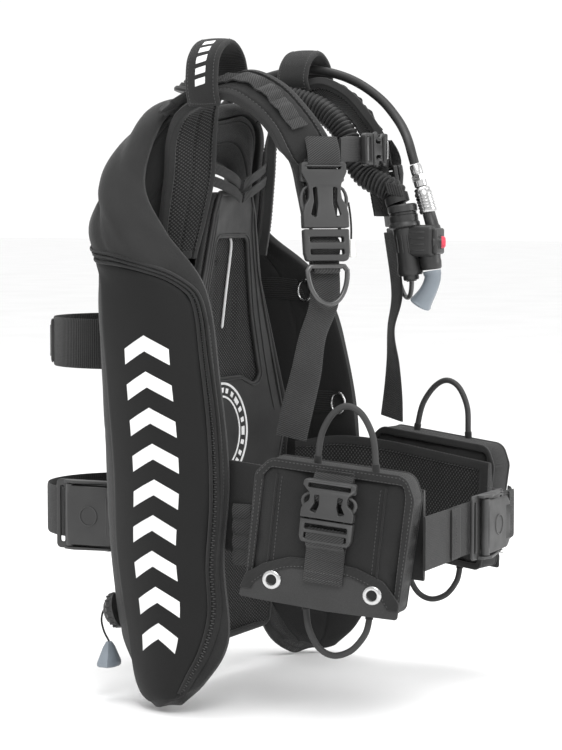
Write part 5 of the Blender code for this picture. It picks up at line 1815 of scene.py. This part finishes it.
def make_accessory_loops():
    """Stiff moulded loops with a sewn collar at each foot."""
    top = [(167.6, -208.5, -70), (168, -209, -60), (170, -214, -38), (172, -226, -20), (172, -240, -13),
           (171, -254, -20), (169, -264, -40), (167, -266, -64), (166.8, -266.5, -76)]
    low = [(165.6, -195, -194), (166, -196, -206), (168, -200, -222), (168, -210, -238), (168, -225, -244),
           (167, -242, -238), (165, -254, -224), (164, -258, -212), (163.6, -259, -199)]
    for name, side in SIDES.items():
        shift = 42.0 if name == "left" else 0.0
        for label, route in (("upper", top), ("lower", low)):
            points = [(x, y + shift, z) for x, y, z in mirrored(route, side)]
            build = Build()
            build.tube(points, 3.0, 70, 16)
            fine = smooth(points, 70)
            for ends in (fine[:6], fine[-6:]):
                build.tube(ends, 3.7, 8, 14, 1)
            made = build.make(f"gear_loop_{name}_{label}", looks("loop", "binding"))
            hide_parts(f"accessory_loop_{name}_{label}")


# --- inflator -----------------------------------------------------------------------------

INFLATOR_TOP = (45.0, -201.0, 166.0)
HEAD = (48.0, -223.0, 134.0)
COUPLING_LOW = (52.0, -230.0, 150.0)
COUPLING_WAY = (0.0, 0.30, 0.954)
KEY_ORIGIN = (46.0, -236.0, 133.0)
KEY_WAY = (0.44, -0.898, 0.0)  # the inflate key points this way


def key_at(distance):
    return tuple(k + w * distance for k, w in zip(KEY_ORIGIN, KEY_WAY))


HOSE_ROUTE = [(17, -21.5, 286.6), (28, -31, 283), (40, -50, 280), (48, -78, 276), (51, -104, 268),
              (51, -122, 256), (50, -136, 241), (48, -144, 225), (46, -151, 210), (45, -163, 197),
              (45, -180, 189), (45, -192, 182), (45, -196.4, 171)]


def make_corrugated_hose():
    """A ribbed hose: round ridges on a slimmer wall, with a plain cuff at each end."""
    pitch, steps = 4.4, 6
    fine = smooth(HOSE_ROUTE, 400)
    total = arc(fine)[-1]
    ribs = int(total / pitch)
    count = ribs * steps + 1
    path = smooth(HOSE_ROUTE, count)
    phase = np.arange(count) / steps
    ridge = np.clip(np.sin(math.pi * (phase % 1.0)), 0, 1) ** 1.6
    radius = 10.2 + 2.3 * ridge
    cuff = np.minimum(np.arange(count), np.arange(count)[::-1]) < steps * 2
    radius = np.where(cuff, 12.1, radius)
    build = Build()
    build.skin(tube_rings(path, radius, 28))
    made = build.make("ribbed_hose", looks("rubber"))
    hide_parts("corrugated_hose")
    elbow = [(-14, 4, 286), (-10, -1, 292), (-2, -8, 293), (8, -15, 290), (16, -21, 287)]
    build = Build()
    build.tube(elbow, 11.0, 30, 28)
    way = np.array(elbow[-1], float) - np.array(elbow[-2], float)
    way /= np.linalg.norm(way)
    end = np.array(elbow[-1], float)
    build.lathe(end - way * 9, end + way * 0.2,
                [(0, 11.4), (0.1, 13.4), (0.45, 13.4), (0.5, 12.6), (0.9, 12.8), (1, 12.0)], 28)
    build.lathe((-15, 5.4, 280), (-13.4, 3.4, 289),
                [(0, 16.5), (0.25, 17.2), (0.5, 16.0), (0.6, 13.0), (1.0, 11.8)], 32)
    made = build.make("hose_elbow_moulding", looks("rubber"))
    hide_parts("hose_elbow")


def make_inflator():
    """The power inflator: cuff, barrel, valve head, keys, quick coupling and mouthpiece."""
    top, bottom = np.array(INFLATOR_TOP), np.array((46.0, -210.0, 100.0))
    down = (bottom - top) / np.linalg.norm(bottom - top)
    build = Build()
    build.lathe(top - down * 4, top + down * 20,
                [(0, 13.2), (0.06, 14.6), (0.30, 14.8), (0.34, 13.6), (0.42, 13.6), (0.46, 14.6),
                 (0.72, 14.4),
                 (0.78, 15.6), (0.92, 15.6), (1.0, 13.0)], 32)
    build.lathe(top + down * 18, bottom + down * 0.2,
                [(0, 12.6), (0.15, 12.2), (0.3, 11.4), (0.75, 11.6), (0.86, 12.6), (0.95, 12.6), (1.0, 11.4)],
                32)
    turns = np.arange(0, 360, 30)
    for degrees in turns:
        a = math.radians(degrees)
        offset = np.array((math.cos(a), math.sin(a), 0.0)) * 11.6
        build.tube([top + down * 26 + offset, top + down * 44 + offset], 0.9, 4, 8)
    build.block((25, 30, 32), (HEAD[0], HEAD[1] + 0.5, HEAD[2]), 5.0, None, 0, 4)
    build.block((21, 6, 26), (HEAD[0] - 1, HEAD[1] - 15.5, HEAD[2]), 2.4, None, 0, 3)
    for z in (-9.0, -3.0, 3.0, 9.0):
        build.block((26.4, 16, 2.2), (HEAD[0], HEAD[1] + 2, HEAD[2] + z), 0.8)
    build.lathe(key_at(-3.0), key_at(5.6), [(0, 10.0), (0.2, 10.4), (0.7, 9.6), (0.75, 7.4), (1.0, 7.2)], 28)
    build.lathe((48, -229, 124), (48, -231.5, 106),
                [(0, 11.0), (0.4, 10.2), (0.6, 10.6), (0.9, 10.2), (1.0, 9.2)], 28)
    low = np.array(COUPLING_LOW)
    way = np.array(COUPLING_WAY)
    way /= np.linalg.norm(way)
    build.lathe(low - way * 12, low + way * 12, [(0, 7.5), (0.4, 7.5), (0.45, 6.6), (1.0, 6.4)], 24)
    build.lathe(low + way * 10, low + way * 62,
                [(0, 4.8), (0.55, 4.8), (0.57, 6.4), (0.68, 6.4), (0.7, 5.0), (0.8, 5.0), (0.82, 6.0),
                 (0.96, 6.0), (1.0, 5.4)], 24, 1)
    build.lathe(low + way * 45, low + way * 52, [(0, 6.0), (0.1, 7.4), (0.9, 7.4), (1.0, 6.0)], 6, 1)
    made = build.make("power_inflator", looks("dark_plastic", "steel"))
    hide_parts("inflator_body")

    build = Build()
    collar = [(0, 7.2), (0.03, 8.2), (0.1, 8.7)]
    for k in range(5):
        at = 0.16 + 0.12 * k
        collar += [(at, 8.7), (at + 0.02, 8.0), (at + 0.05, 8.0), (at + 0.07, 8.7)]
    collar += [(0.80, 8.7), (0.86, 7.6), (0.9, 7.6), (0.95, 8.2), (1.0, 7.2)]
    build.lathe(low + way * 12, low + way * 38, collar, 28)
    made = build.make("coupling_sleeve_detail", looks("steel"), "coupling_sleeve")
    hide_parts("coupling_collar")

    build = Build()
    build.lathe(key_at(2.0), key_at(10.0), [(0, 6.0), (0.75, 6.0), (0.9, 5.4), (1.0, 4.2)], 28)
    made = build.make("inflate_key_detail", looks("red"), "inflate_key")
    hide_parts("inflate_button")

    build = Build()
    build.lathe(bottom - down * 3, bottom + down * 6,
                [(0, 7.9), (0.7, 7.9), (0.85, 7.2), (0.9, 5.2), (1.0, 4.8)], 28)
    made = build.make("deflate_key_detail", looks("dark_plastic"), "deflate_key")
    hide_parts("deflate_button")
    make_mouthpiece()
    make_hose_keeper()


def make_mouthpiece():
    """An oval silicone mouthpiece that flares to a rim, its opening closed by a dark disc of painted shade.
    """
    route = [(48, -231.6, 104.6), (48, -232.4, 97), (48, -228, 85), (48, -219, 71)]
    path = smooth(route, 22)
    share = np.linspace(0, 1, 22)
    radius = 9.6 - 1.0 * np.sin(math.pi * share * 0.8) + 3.8 * share**2.2
    radius[-2:] += (0.5, -0.4)
    radius[:3] += 0.6
    build = Build()
    build.skin(tube_rings(path, radius, 32, flat=0.86, guide=(0, 1, 0)))
    end, way = path[-1], path[-1] - path[-2]
    way /= np.linalg.norm(way)
    # Painted shade: a near-black lining disc across the open end stands in for the shadowed inside of the
    # mouthpiece.
    build.skin(tube_rings([end + way * 0.02, end + way * 0.5], 7.8, 28, flat=0.6, guide=(0, 1, 0)), look=1)
    made = build.make("mouthpiece_silicone", looks("grey", "lining"))
    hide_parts("mouthpiece")


def make_hose_keeper():
    """The cloth keeper that holds the hoses to the left strap."""
    build = Build()
    points = [(62, -186, 178), (52, -199, 181), (38, -202, 183), (30, -190, 186)]
    build.ribbon(points, [(0, 4, 12)] * 4, 1.8, 20)
    made = build.make("hose_keeper", looks("belt"))


def make_dump_valve():
    """A ribbed dump valve cap on the rear of the right lobe."""
    build = Build()
    low, high = np.array((-136.0, 20.0, -224.0)), np.array((-137.0, 28.0, -226.0))
    build.lathe(low, high, [(0, 17.2), (0.3, 17.2), (0.35, 16.2), (0.8, 16.2), (1.0, 14.5)], 40)
    way = (high - low) / np.linalg.norm(high - low)
    build.lathe(high - way * 0.5, high + way * 5.2, [(0, 13.4), (0.4, 13.0), (0.8, 10.8), (1.0, 7.0)], 36)
    guide = np.cross(way, (1.0, 0.0, 0.0))
    guide /= np.linalg.norm(guide)
    other = np.cross(way, guide)
    for k in range(16):
        a = 2 * math.pi * k / 16
        out = guide * math.cos(a) + other * math.sin(a)
        build.tube([low + way * 1.5 + out * 16.6, high - way * 0.5 + out * 15.8], 1.3, 4, 8)
    made = build.make("rear_dump_valve_cap", looks("dark_plastic"))
    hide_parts("rear_dump_valve")


make_waist_belt()
make_cam_buckles()
make_cylinder_bands()
make_accessory_loops()
make_corrugated_hose()
make_inflator()
make_dump_valve()
